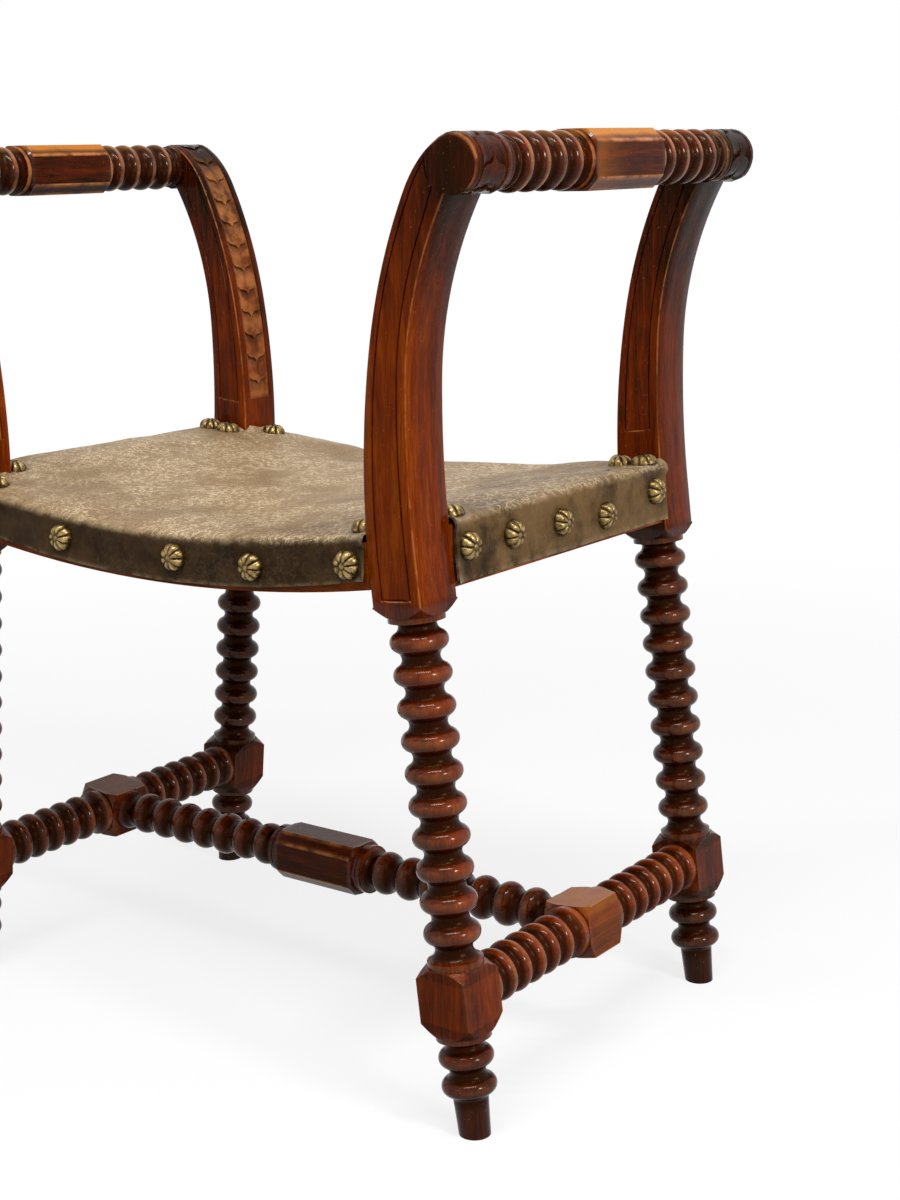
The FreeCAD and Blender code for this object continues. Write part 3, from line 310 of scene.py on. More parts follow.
def stained_wood(name, stretch, masks, tone, worn_place=None, gloss=0.14, polish=None):
    """A wood finish. Four of its inputs are functions of the place. masks gives the hollow mask,
    dirt and painted shade, and the crest mask, wear and a painted highlight; tone how light the
    wood is painted, worn_place what is rubbed golden, and polish the weight of the coat."""
    material, shader, here = new_finish(name, Specular_IOR_Level=0.085, Specular_Tint=SHELLAC,
                                        Coat_Roughness=0.14)
    hollow, crest = masks(here)
    figure, streak, fibre = (spread(grainy(here, scale, 3, stretch), 0.3, 0.7)
                             for scale in (30, 170, 700))
    pores = spread(grainy(here, 1500, 2, stretch), 0.62, 0.72)
    cloud = grainy(here, 22, 3)
    depth = (figure * 0.16 + streak * 0.16 + fibre * 0.14 + spread(cloud, 0.3, 0.7) * 0.08
             + (tone(here) + MIDDLE_TONE))
    body = depth.node("ValToRGB", {"stops": [(0.25, DARK_STAIN), (0.92, WARM_STAIN),
                                             (0.45, DEEP_STAIN), (0.66, BODY_STAIN)]},
                      {"Fac": depth})
    body = mixed(pores * 0.6, body, DARK_STAIN)
    # Dirt and painted shade in the hollows.
    body = mixed(hollow * spread(cloud, 0.2, 0.7, 1.0, 0.85), body, HOLLOW_DIRT_AND_SHADE)
    # Wear and a painted highlight on the crests and arrises.
    rubbed = crest * spread(grainy(here, 60, 4), 0.35, 0.62, 0.2, 1.0)
    body = mixed(rubbed * 0.9, body, WORN_AND_HIGHLIGHT)
    if worn_place is not None:
        golden = worn_place(here) * spread(grainy(here, 45, 4), 0.3, 0.6, 0.6, 1.0)
        body = mixed(golden, body, GOLD_WORN)
    nicks = spread(grainy(here, 520, 2), 0.69, 0.73) * spread(crest, 0.35, 0.8, 0.2, 1.0)
    body = mixed(nicks * 0.6, body, NICK_COLOUR)
    rough = gloss + cloud * 0.12 + hollow * 0.1 + nicks * 0.3
    relief = fibre * 0.2 + pores * -0.3 + nicks * -0.8 + grainy(here, 90, 3) * 0.6
    connect(shader, Base_Color=body, Roughness=rough, Normal=raised(relief, 0.35, 0.0004))
    if polish is not None:
        connect(shader, Coat_Weight=polish(here) * (1 - hollow))
    return material


def turned(point, direction, neck, crest_at, corner, wear):
    """Masks of a turned piece, from the distance to its axis. Lengths are in millimetres."""
    def masks(here):
        folded = here.node("VectorMath", {"operation": "ABSOLUTE"}, {0: here})
        arm = folded.node("VectorMath", {"operation": "SUBTRACT"},
                          {0: folded, 1: tuple(c * MM for c in point)})
        turn = arm.node("VectorMath", {"operation": "CROSS_PRODUCT"}, {0: arm, 1: direction})
        reach = turn.node("VectorMath", {"operation": "LENGTH", "output": "Value"}, {0: turn})
        # hollow darkens the necks, for dirt and as painted shade; crest and arris are wear and a
        # painted highlight.
        hollow = spread(reach, (neck + 1.4) * MM, (crest_at - 0.3) * MM, 1.0, 0.0)
        crest = spread(reach, (crest_at - 0.6) * MM, (crest_at + 0.1) * MM)
        block = spread(reach, (crest_at + 0.3) * MM, (crest_at + 0.6) * MM)
        arris = spread(reach, (corner - 0.7) * MM, (corner - 0.1) * MM)
        return hollow, crest * (1 - block) * wear + arris * 0.8
    return masks


print("wood recipe ready")

# %% [markdown]
# The colour also changes from place to place: darker towards the rear and the left, darker
# towards the rolls as painted shade under them, and golden where hands and heels have been. These
# functions take a place in metres and give a number for it.

# %% Stain, painted shade, wear and polish by place
ROLL_REACH, ROLL_HEIGHT = 281.9, 680.0
STRETCHER_REACH, STRETCHER_HEIGHT = 258.2, 103.6
ROLL_CREST, STRETCHER_CREST, CORNER = 20.2, 19.9, 24.4
# Spans in metres, across the stool, up a leg, and out from the middle of a leg's block
LEFT_TO_RIGHT, FRONT_TO_REAR = (-0.1, 0.1), (-0.1, 0.1)
BOBBIN_TOP, SHADE_TO_ROLL, IN_FOOT = (0.385, 0.395), (0.52, 0.69), (0.0, 0.06)
IN_BLOCK, PAST_BLOCK = (0.0155, 0.0175), (0.022, 0.026)
BLOCK_TOP = (0.694, 0.6995)


def arm_block_wear(here):
    """The middle block of an arm rail, most of all its top, where hands rest."""
    height, along = axis_part(here, "Z"), from_middle(here, "Y")
    top = spread(height, *BLOCK_TOP)
    block = spread(along, 0.041, 0.045, 1.0, 0.0)
    grip = spread(axis_part(here, "Y"), -0.045, 0.0, 0.34, 0.0) * block
    grip = grip * spread(axis_part(here, "X"), *LEFT_TO_RIGHT)
    return top * (block * 0.9 + spread(along, 0.05, 0.12, 0.45, 0.15)) + grip


def end_block_wear(here):
    """The middle block of an end stretcher, its top rubbed by heels, on the right most."""
    block = spread(from_middle(here, "Y"), 0.0185, 0.023, 1.0, 0.0)
    heels = spread(axis_part(here, "X"), -0.2, 0.2, 0.3, 1.0) * block
    return heels * spread(axis_part(here, "Z"), 0.115, 0.1235, 0.12, 0.5)


def leg_tone(here):
    """How light a leg is painted: lightest above the seat, darkest in the bobbins, painted shade
    towards the roll.
    """
    height = axis_part(here, "Z")
    to_block = size_of(height - STRETCHER_HEIGHT * MM)
    # The span towards the roll darkens the leg as painted shade under the roll.
    return (spread(height, *BOBBIN_TOP, -0.12, 0.03) + spread(height, *SHADE_TO_ROLL, 0.0, -0.3)
            + spread(to_block, *IN_BLOCK, 0.12, 0.0) + spread(height, *IN_FOOT, -0.12, 0.0)
            + spread(axis_part(here, "Y"), *FRONT_TO_REAR, 0.0, -0.12))


def leg_polish(here):
    """Only the turned part of a leg has kept its full polish, and not its block."""
    height = axis_part(here, "Z")
    return (spread(height, 0.385, 0.39, POLISH, 0.0)
            * spread(size_of(height - STRETCHER_HEIGHT * MM), *PAST_BLOCK))


def block_edge(axis, start, end, on_block, beside, left=0.0):
    """A value for a rail, one on its middle block and another beside it. The block ends from
    start to end, in metres. left is added in the left half of the stool."""
    def value(here):
        part = spread(from_middle(here, axis), start, end, on_block, beside)
        return part + spread(axis_part(here, "X"), *LEFT_TO_RIGHT, left, 0.0)
    return value


print("place functions ready")

# %% The four wood finishes
leg_wood = stained_wood("leg_wood", (1, 1, 0.07), stored, leg_tone, gloss=0.12,
                        polish=leg_polish)
arm_wood = stained_wood(
    "arm_wood", (1, 0.07, 1),
    turned((ROLL_REACH, 0, ROLL_HEIGHT), (0, 1, 0), 15.4, ROLL_CREST, CORNER, 0.6),
    block_edge("Y", 0.04, 0.046, -0.15, -0.24, -0.12), arm_block_wear, 0.12,
    block_edge("Y", 0.041, 0.044, 0.0, POLISH))
end_wood = stained_wood(
    "end_stretcher_wood", (1, 0.07, 1),
    turned((STRETCHER_REACH, 0, STRETCHER_HEIGHT), (0, 1, 0), 15.0, STRETCHER_CREST, 29.0, 0.35),
    block_edge("Y", 0.017, 0.021, 0.0, -0.04, -0.14), end_block_wear,
    polish=block_edge("Y", 0.0185, 0.0205, 0.0, POLISH))
cross_wood = stained_wood(
    "cross_stretcher_wood", (0.07, 1, 1),
    turned((0, 0, STRETCHER_HEIGHT), (1, 0, 0), 13.0, 18.0, CORNER, 0.15),
    lambda here: -0.2, polish=block_edge("X", 0.037, 0.04, 0.0, POLISH))
print("wood finishes: leg, arm, end stretcher, cross stretcher")

# %% [markdown]
# ## Plain rail wood
#
# The seat rails and corner blocks were never polished below. Only a strip of the front rail
# shows under the leather, orange where it has been rubbed.

# %% The rail finish
def plain_masks(here):
    shade = grainy(here, 35, 3)
    return spread(shade, 0.45, 0.75, 0.0, 0.5), spread(shade, 0.3, 0.5, 0.55, 0.0)


def rail_tone(here):
    return spread(grainy(here, 12, 2), 0.3, 0.7, 0.1, 0.3)


rail_wood_long = stained_wood("rail_wood_long", (0.07, 1, 1), plain_masks, rail_tone)
rail_wood_side = stained_wood("rail_wood_side", (1, 0.07, 1), plain_masks, rail_tone)
FINISHES = {
    "arm_rail": arm_wood, "end_stretcher": end_wood, "cross_stretcher": cross_wood,
    "seat_rail_front": rail_wood_long, "seat_rail_rear": rail_wood_long,
    "seat_rail_left": rail_wood_side, "seat_rail_right": rail_wood_side,
    "corner_block_front": rail_wood_long, "corner_block_rear": rail_wood_long,
}
for start, finish in FINISHES.items():
    dress(start, finish)

# %% [markdown]
# ## The curve of a post
#
# Above the seat each leg is sawn to a curve that bends outwards into a roll. Seen from the
# front, its two faces are made of straight lines and arcs. The same lines are laid out here
# again, so that the carved post fills exactly the space of its CAD solid.

# %% The post's two faces as lines of points
SPLAY = math.radians(6.16)
ALONG = np.array([-math.sin(SPLAY), math.cos(SPLAY)])
OUTWARD = np.array([math.cos(SPLAY), math.sin(SPLAY)])
FOOT = np.array([269.4, 0.0])
HALF_STOCK, POST_OUTER_Y, POST_INNER_Y = 21.0, 183.2, 141.2
POST_FOOT, POST_START = 388.4, 392.0
ROLL = np.array([ROLL_REACH, ROLL_HEIGHT])
ROLL_RADIUS = 20.0
STEP = 0.25


def arc_points(middle, start, end, way=0):
    """Points along an arc. way is 1 or -1 to force its sense, and 0 for the shorter way."""
    first = math.atan2(*(start - middle)[::-1])
    turn = math.atan2(*(end - middle)[::-1]) - first
    turn = (turn + math.pi) % (2 * math.pi) - math.pi
    if way * turn < 0:
        turn += way * 2 * math.pi
    radius = np.linalg.norm(start - middle)
    angles = first + np.linspace(0, turn, max(3, int(abs(turn) * radius / STEP)))
    return middle + radius * np.stack([np.cos(angles), np.sin(angles)], 1)


def face_points(side, straight, radius, turn, end):
    """A face of the post, from its foot to the roll, and the middle of its last arc."""
    foot = FOOT + ALONG * POST_FOOT + OUTWARD * side * HALF_STOCK
    start = FOOT + ALONG * (POST_START + straight) + OUTWARD * side * HALF_STOCK
    first_middle = start + OUTWARD * radius
    across = OUTWARD * math.cos(turn) - ALONG * math.sin(turn)
    change = first_middle - across * radius
    chord = end - change
    middle = change + across * (chord @ chord) / (2 * chord @ across)
    count = int(np.linalg.norm(start - foot) / STEP)
    line = foot + (start - foot) * np.linspace(0, 1, count)[:, None]
    return [line, arc_points(first_middle, start, change), arc_points(middle, change, end)], middle


inner_end = ROLL + np.array([-1.97, -0.805]) * ROLL_RADIUS
outer_end = ROLL + np.array([-0.295, -0.9555]) * ROLL_RADIUS
inner_parts, inner_middle = face_points(-1, 7.3, 620.0, math.radians(15.6), inner_end)
outer_parts, _ = face_points(1, 33.2, 791.0, math.radians(8.2), outer_end)
inner_out = (inner_middle - inner_end) / np.linalg.norm(inner_middle - inner_end)
to_end = inner_end - ROLL
sweep = (ROLL_RADIUS ** 2 - to_end @ to_end) / (2 * (inner_out @ to_end + ROLL_RADIUS))
sweep_middle = inner_end + inner_out * sweep
sweep_end = ROLL + (ROLL - sweep_middle) / np.linalg.norm(ROLL - sweep_middle) * ROLL_RADIUS
inner_parts += [arc_points(sweep_middle, inner_end, sweep_end),
                arc_points(ROLL, sweep_end, outer_end, way=-1)]


class Path:
    """A line of points that can be asked for its point and outward normal at a length."""

    def __init__(self, parts, side):
        points = np.concatenate(parts)
        keep = np.r_[True, np.linalg.norm(np.diff(points, axis=0), axis=1) > 1e-6]
        self.points = points[keep]
        steps = np.linalg.norm(np.diff(self.points, axis=0), axis=1)
        self.lengths = np.r_[0, np.cumsum(steps)]
        self.side = side

    def at(self, length):
        return np.array([np.interp(length, self.lengths, self.points[:, k]) for k in (0, 1)])

    def normal(self, length):
        run = self.at(length + 1) - self.at(length - 1)
        return self.side * np.array([-run[1], run[0]]) / np.linalg.norm(run)

    def where(self, test):
        """The first length at which test(points) holds."""
        return self.lengths[np.argmax(test(self.points))]


inner_path, outer_path = Path(inner_parts, 1), Path(outer_parts, -1)
print("inner face %.1f mm, outer face %.1f mm" % (inner_path.lengths[-1], outer_path.lengths[-1]))

# %% [markdown]
# ## The carving
#
# The inner face carries a chain of overlapping leaves between two border lines. Each leaf ends
# in a stab cut shaped like a brace, and the wood below the cut is pared away to nothing. The
# faces in front and behind carry a panel of two incised lines, closed with a line at the foot
# and an arc at the roll. Real carving is a change of shape, so the grid of the mesh follows the
# cuts: its rows run along the brace of each leaf. The cuts and the paring are also painted dark
# through the hollow mask as painted shade, and the lip under a panel's foot line pale as a
# painted highlight.

# %% Rows and columns of the carved post
CLOSING_RADIUS = 21.7
LEAF_PITCH = 21.0
BRACE = ([0, 1.2, 2.6, 4.6, 7.0, 9.2, 10.8, 12.2, 21.0], [0, 1.9, 3.7, 4.5, 4.7, 5.4, 6.6, 8.8, 0])
PARED = ([0, 0.7, 1.8, 8.5, 10.8, 12.4], [0.2, 0.7, 1.0, 0.95, 0.6, 0.0])
LEAF_ROWS = ((-15.0, 0.0), (-9.5, 0.0), (-5.0, 0.36), (-2.2, 0.7), (-0.35, 1.0), (0.0, 0.0))
LEAF_DEPTH, LINE_DEPTH, LINE_HALF = 2.2, 1.3, 0.95
BORDER, ARRIS, ROLL_ARRIS = 7.4, 1.5, 3.0
BULGE_RUN, ROLL_RUN = 42.0, 14.0

inner_close, outer_close = (
    path.where(lambda p: np.linalg.norm(p - ROLL, axis=1) < CLOSING_RADIUS)
    for path in (inner_path, outer_path))
first_tip, strip_foot, inside_foot = (
    inner_path.where(lambda p: p[:, 1] > height) for height in (480, 467, 465))
outside_foot = 5.0
outer_foot = outer_path.where(lambda p: (p - inner_path.at(inside_foot)) @ ALONG > 0)
last_row = inner_path.lengths[-1] - 1.0
strip_end = last_row - 9.0
leaf_count = int((strip_end - first_tip) / LEAF_PITCH) + 1


def post_rows(chance):
    """Rows up the inner face: their lengths, how deep the paring is there, and their leaf."""
    rows = {}
    for leaf in range(leaf_count):
        tip = first_tip + leaf * LEAF_PITCH + chance.uniform(-0.5, 0.5)
        for step, depth in LEAF_ROWS:
            rows[round(tip + step, 2)] = (depth, leaf)
    lines = [outside_foot, inside_foot, strip_foot, inner_close]
    for line in lines:
        for step in (-LINE_HALF - 0.9, -LINE_HALF, 0.0, LINE_HALF):
            near = [r for r in rows if abs(r - line - step) < 0.3]
            for r in near:
                del rows[r]
            rows[round(line + step, 2)] = (0.0, -1)
    for plain in np.r_[0.0, np.arange(10, strip_foot - 4, 9.0), strip_end + 3, last_row]:
        rows[round(float(plain), 2)] = (0.0, -1)
    return sorted((r, *rows[r]) for r in rows if r <= last_row)


chord = outer_path.at(outer_close) - inner_path.at(inner_close)
chord_length = np.linalg.norm(chord)
chord_drop = math.sqrt(CLOSING_RADIUS ** 2 - chord_length ** 2 / 4)
chord_away = (inner_path.at(inner_close) + outer_path.at(outer_close)) / 2 - ROLL
chord_away /= np.linalg.norm(chord_away)


def bulge(length, share):
    """How far a row of the flat faces bends away from the roll, to run round with it."""
    if length <= inner_close:
        amount = max(0.0, 1 - (inner_close - length) / BULGE_RUN) ** 2
    else:
        amount = max(0.0, 1 - (length - inner_close) / ROLL_RUN)
    arc = math.sqrt(CLOSING_RADIUS ** 2 - ((share - 0.5) * chord_length) ** 2) - chord_drop
    return chord_away * arc * amount


def across_row(length, share):
    """A point of the flat faces: share 0 is on the inner face and 1 on the outer face."""
    start = inner_path.at(length)
    end = outer_path.at(np.interp(length, [0, inside_foot, inner_close, inner_close + 6],
                                  [0, outer_foot, outer_close, outer_path.lengths[-1]]))
    return start + (end - start) * share + bulge(length, share), np.linalg.norm(end - start)


print("leaves on a post:", leaf_count)

# %% [markdown]
# ## One whole leg
#
# A real leg is one piece of timber, so the lesson makes it one piece too. The turned part is
# copied from the CAD node and cut off just under the panel's foot. The carved post is a tube
# of rings, one for each row, that starts there and closes under the roll.

# %% The points round one ring of a post
CARVED_HALF = (POST_OUTER_Y - POST_INNER_Y) / 2
STRIP_COLUMNS = [BORDER - 2, BORDER - LINE_HALF, BORDER, BORDER + LINE_HALF]
LEAF_COLUMNS = list(np.linspace(9.4, 2 * CARVED_HALF - 9.4, 17))
LEAF_HALF, LEAF_RUB, GROUND_RUB, CORNER_RUB, LIP_HIGHLIGHT = 12, 0.55, 0.3, 0.6, 0.9
SAME = 0.01
PLAIN, LINE, BETWEEN = range(3)


def smooth(value, low, high):
    share = min(max((value - low) / (high - low), 0.0), 1.0)
    return share * share * (3 - 2 * share)


def carved_face(length, paring, leaf_depth, arris):
    """Points across the carved inner face: place, y, hollow and crest."""
    # A cut's depth also darkens it through the hollow mask: painted shade in the cuts.
    in_strip = strip_foot <= length <= strip_end
    warp = min(smooth(length, strip_foot + 1, strip_foot + 14), smooth(length, last_row, strip_end))
    outside = [arris, *STRIP_COLUMNS]
    for column in outside + LEAF_COLUMNS + [2 * CARVED_HALF - c for c in outside[::-1]]:
        side = abs(column - CARVED_HALF)
        to_border = CARVED_HALF - BORDER - side
        moved = min(length + warp * np.interp(side, *BRACE), last_row)
        depth = paring * leaf_depth * np.interp(side, *PARED) * warp
        if in_strip and (abs(to_border) < SAME or abs(length - strip_foot) < SAME < to_border):
            depth = LINE_DEPTH
        rub = 0.0
        if in_strip and to_border > 0.5:
            rub = LEAF_RUB if paring == 0 and leaf_depth > 0 and side < LEAF_HALF else GROUND_RUB
            rub *= 1 - smooth(length, inner_close - 40, inner_close - 5)
        yield (inner_path.at(moved) - inner_path.normal(moved) * depth, column - POST_OUTER_Y,
               min(1.0, depth / 1.1), rub)


def flat_places(length, arris):
    """Places across a flat face, from the inner face to the outer, each with its kind."""
    width = across_row(length, 0)[1]
    scale = width / (2 * HALF_STOCK)
    high = smooth(length, 20, inner_close)
    first, last = (9.2 - 1.6 * high) * scale, width - (8.4 + 3.0 * high) * scale
    line, edge = LINE_HALF * scale, min(scale, 1)
    offsets = [(arris * edge, PLAIN), (first - line, PLAIN), (first, LINE), (first + line, PLAIN)]
    offsets += [(first + (last - first) * share, BETWEEN) for share in (0.25, 0.5, 0.75)]
    offsets += [(last - line, PLAIN), (last, LINE), (last + line, PLAIN),
                (width - ARRIS * edge, PLAIN)]
    return [(across_row(length, offset / max(width, 1e-6))[0], kind) for offset, kind in offsets]


def flat_face(length, y, inward, foot, places):
    """Points across a flat face, with its panel of incised lines that begins at foot."""
    on_panel = foot - SAME <= length <= inner_close + SAME
    closing = min(abs(length - foot), abs(length - inner_close)) < SAME
    # A cut line is painted dark, as painted shade, the lip under the foot line pale, as a painted
    # highlight, and past the closing arc the face is painted darker.
    dusk = smooth(length, inner_close + 2, inner_close + 16) * 0.6
    for place, kind in places:
        cut = LINE_DEPTH if on_panel and (kind == LINE or closing and kind == BETWEEN) else 0.0
        lip_highlight = LIP_HIGHLIGHT if kind != PLAIN and abs(length - foot + LINE_HALF) < SAME else 0.0
        yield place, y + inward * cut, max(cut / LINE_DEPTH, dusk), lip_highlight


print("post ring ready,", len(LEAF_COLUMNS), "columns over a leaf")

# %% A whole post, and the turned part under it
def post_ring(length, paring, leaf_depth):
    """One ring of the post: points with their hollow and crest masks, for the front right leg."""
    arris = ARRIS + (ROLL_ARRIS - ARRIS) * smooth(length, inner_close - 6, inner_close + 12)
    inner, outer = inner_path.at(length), across_row(length, 1)[0]
    outer_length = np.interp(length, [0, inside_foot, inner_close], [0, outer_foot, outer_close])
    outer_normal = outer_path.normal(min(outer_length, outer_path.lengths[-1] - 1))
    flats = flat_places(length, arris)

    def corner(place, away, y, inward, size):
        return place - away * size * 0.3, y + inward * size * 0.3, 0.0, CORNER_RUB

    # Painted shade under the roll, stored in the hollow mask of the outer face.
    shade = smooth(length, 200, inner_close) * 0.35
    ring = [
        corner(inner, inner_path.normal(length), -POST_OUTER_Y, 1, arris),
        *carved_face(length, paring, leaf_depth, arris),
        corner(inner, inner_path.normal(length), -POST_INNER_Y, -1, arris),
        *flat_face(length, -POST_INNER_Y, -1, inside_foot, flats),
        corner(outer, outer_normal, -POST_INNER_Y, -1, ARRIS),
        *((outer, -POST_INNER_Y - column, shade, 0.0)
          for column in (ARRIS, 14.0, 28.0, 2 * CARVED_HALF - ARRIS)),
        corner(outer, outer_normal, -POST_OUTER_Y, 1, ARRIS),
        *flat_face(length, -POST_OUTER_Y, 1, outside_foot, flats[::-1])]
    return [(place[0], y, place[1], hollow, crest) for place, y, hollow, crest in ring]


def carved_post(seed):
    """The points, faces and masks of a carved post of the front right leg."""
    chance = random.Random(seed)
    depths = [LEAF_DEPTH * chance.uniform(0.85, 1.1) for _ in range(leaf_count)] + [0.0]
    rings = [post_ring(length, paring, depths[leaf])
             for length, paring, leaf in post_rows(chance)]
    around = len(rings[0])
    points = [p for ring in rings for p in ring]
    faces = tube_faces(len(rings), around)
    faces += [tuple(range(around))[::-1], tuple(range(len(points) - around, len(points)))]
    return points, faces


def turned_part(name, sides):
    """The turned part of a leg, cut from a copy of its CAD node, with the same masks."""
    work = bmesh.new()
    work.from_mesh(nodes[name].data)
    bmesh.ops.remove_doubles(work, verts=work.verts, dist=1e-6)
    top = FOOT + ALONG * POST_FOOT
    cut = bmesh.ops.bisect_plane(
        work, geom=work.verts[:] + work.edges[:] + work.faces[:], dist=1e-6, clear_outer=True,
        plane_co=Vector((top[0] * sides[0], 0, top[1])) * MM,
        plane_no=Vector((ALONG[0] * sides[0], 0, ALONG[1])))
    rim = [e for e in cut["geom_cut"] if isinstance(e, bmesh.types.BMEdge)]
    bmesh.ops.holes_fill(work, edges=rim)
    work.verts.ensure_lookup_table()
    points = []
    for vertex in work.verts:
        x, y, z = (c / MM for c in vertex.co)
        level = abs(x) - FOOT[0], abs(y) - (POST_OUTER_Y + POST_INNER_Y) / 2, z
        up = level[0] * ALONG[0] + level[2] * ALONG[1]
        out = level[0] * OUTWARD[0] + level[2] * OUTWARD[1]
        # hollow is dirt and painted shade in the turning, crest is wear and a painted highlight on
        # the crests and the block's arrises.
        reach = math.hypot(out, level[1])
        hollow = 1 - smooth(reach, 15.0, 20.4)
        if up < 26:
            hollow *= 0.5
        crest = 0.16 * smooth(reach, 19.6, 20.7) * (1 - smooth(reach, 20.85, 20.98))
        crest += 0.12 * smooth(reach, 27.0, 29.4)
        points.append((x, y, z, hollow, crest))
    faces = [tuple(v.index for v in face.verts) for face in work.faces]
    work.free()
    return points, faces


print("post and turned part ready")

# %% The four legs
LEGS = {"leg_front_right": (1, 1), "leg_front_left": (-1, 1),
        "leg_rear_right": (1, -1), "leg_rear_left": (-1, -1)}
for seed, (name, sides) in enumerate(LEGS.items(), start=1):
    points, faces = turned_part(name, sides)
    first = len(points)
    post_points, post_faces = carved_post(seed)
    points += [(p[0] * sides[0], p[1] * sides[1], *p[2:]) for p in post_points]
    faces += [tuple(first + corner for corner in face) for face in post_faces]
    make_piece("carved_" + name, points, faces, leg_wood, "walnut", [name], math.radians(32))

# %% [markdown]
# ## Leather
#
# The cover is one hide, nailed down while damp, so it lies tight and has no seams. Its top is
# scuffed pale, and painted paler still as painted light from above, and its sides have kept more
# of their olive brown, with painted shade on the faces that look to the front and rear. The
# finish mixes these by the way the surface faces, then adds a fine pebble grain, curled
# scratches and dark specks, paints shade round the nails and in the corner creases, and pales the
# ridge and the cut edges, both from masks that the piece stores in its own mesh.

# %% The leather finish
LEATHER_DARK = tint(40, 23, 4)
LEATHER_BODY = tint(118, 90, 56)
LEATHER_TOP_SCUFFED_AND_LIT = tint(158, 131, 96)
LEATHER_SCUFF = tint(226, 206, 174)
LEATHER_EDGE = tint(186, 162, 128)


def leather_finish():
    material, shader, here = new_finish("leather", Specular_IOR_Level=0.08)
    hollow, crest = stored(here)
    facing = here.node("TexCoord", {"output": "Normal"})
    up = spread(axis_part(facing, "Z"), 0.1, 0.97)
    painted_shade_ahead = spread(size_of(axis_part(facing, "Y")), 0.4, 0.9)
    blotch = grainy(here, 26, 5, roughness=0.62)
    mottle = grainy(here, 110, 4, roughness=0.6)
    pebble = here.node("TexVoronoi", {"output": "Distance"}, {"Vector": here, "Scale": 900.0})
    rubs = grainy(here, 16, 6, (1, 0.7, 1), 0.66)
    curls = size_of(grainy(here, 120, 5, roughness=0.65) - 0.5)
    scuffs = spread(curls, 0.0, 0.045, 1.0, 0.0) * spread(rubs, 0.38, 0.6, 0.1, 1.0)
    specks = spread(grainy(here, 520, 4, roughness=0.75), 0.5, 0.64)
    top_less_pale_on_right = spread(axis_part(here, "X"), 0.0, 0.2, 0.0, 0.4)
    body = mixed(spread(blotch, 0.3, 0.6), LEATHER_DARK, LEATHER_BODY)
    # Painted shade on the faces that look to the front and rear.
    body = mixed(painted_shade_ahead * 0.72, body, LEATHER_DARK)
    # The top is painted paler, for scuffs and as painted light from above, less so on the right.
    body = mixed(up * (spread(rubs * 0.8 + mottle * 0.2, 0.35, 0.6, 0.66, 1.0) - top_less_pale_on_right), body,
                 LEATHER_TOP_SCUFFED_AND_LIT)
    body = mixed(scuffs * (0.05 + up * 0.88), body, LEATHER_SCUFF)
    body = mixed(specks * (0.14 + up * 0.4), body, LEATHER_DARK)
    # Painted shade round the nails and in the corner creases.
    body = mixed(hollow * 0.6, body, LEATHER_DARK)
    body = mixed(crest * spread(mottle, 0.38, 0.62, 0.0, 0.4), body, LEATHER_EDGE)
    rough = 0.36 + mottle * 0.2 + scuffs * 0.12 - crest * 0.1
    relief = pebble * 0.5 + mottle * 1.2 + scuffs * 0.3
    connect(shader, Base_Color=body, Roughness=rough, Normal=raised(relief, 0.3, 0.0006))
    return material


leather = leather_finish()
print("leather finish ready")

# %% [markdown]
# ## The leather cover
#
# Hide pulled tight and nailed hardly moves, so its shape is set by what holds it: the crowned
# stuffing, the rounded ridges, the nails and the posts. The piece is a grid laid out flat, as
# the hide was cut, with its four corners left out for the posts. Each point is then bent over
# the ridges, pressed in round the nails and lifted where the cut edges curl against the posts.

# %% The shape of the seat
SEAT_HEIGHT, SEAT_RADIUS, HEM_RADIUS = 417.8, 1176.0, 1000.0
RIDGE_X, RIDGE_Y, ROUND = 241.4, 179.7, 6.0
CROWN, SHOULDER = 7.6, 201.4
NOTCH_X, NOTCH_Y = 202.3, 140.9
FRONT_HEM, SIDE_HEM = 382.2, 397.5


def rise(radius, reach):
    return radius - math.sqrt(radius * radius - reach * reach)


def seat_top(x, y):
    """The height of the leather's top."""
    x, y = min(abs(x), RIDGE_X), min(abs(y), RIDGE_Y)
    crown = CROWN * (1 - (y / RIDGE_Y) ** 2.5)
    if x < SHOULDER:
        share = 1 - 0.22 * (x / SHOULDER) ** 2
    else:
        share = 0.78 * (1 - ((x - SHOULDER) / (RIDGE_X - SHOULDER)) ** 1.24)
    return SEAT_HEIGHT + rise(SEAT_RADIUS, x) + crown * share


print("the seat is %.1f mm high in its middle" % seat_top(0, 0))

# %% [markdown]
# The nails come from the CAD nodes, so that the leather is pressed in exactly where they are.
# A nail's two points that lie farthest apart are its tip and the middle of its dome, and they
# give its place and its direction.

# %% Where the nails are
NAIL_DOME, NAIL_RADIUS = 7.8, 10.6


def nail_seats(node):
    """The place under each nail's head and its outward direction, in millimetres."""
    work = bmesh.new()
    work.from_mesh(nodes[node].data)
    bmesh.ops.remove_doubles(work, verts=work.verts, dist=1e-6)
    left, seats = set(work.verts), []
    while left:
        island, edge = set(), [left.pop()]
        while edge:
            vertex = edge.pop()
            island.add(vertex)
            for link in vertex.link_edges:
                other = link.other_vert(vertex)
                if other in left:
                    left.discard(other)
                    edge.append(other)
        points = np.array(sorted(tuple(v.co / MM) for v in island))
        gaps = np.linalg.norm(points[:, None] - points[None], axis=2)
        one, two = np.unravel_index(np.argmax(gaps), gaps.shape)
        near = [(np.linalg.norm(points - points[k], axis=1) < 8).sum() for k in (one, two)]
        apex, tip = (one, two) if near[0] > near[1] else (two, one)
        direction = points[apex] - points[tip]
        direction /= np.linalg.norm(direction)
        seats.append((points[apex] - direction * NAIL_DOME, direction))
    work.free()
    return sorted(seats, key=lambda seat: tuple(seat[0]))


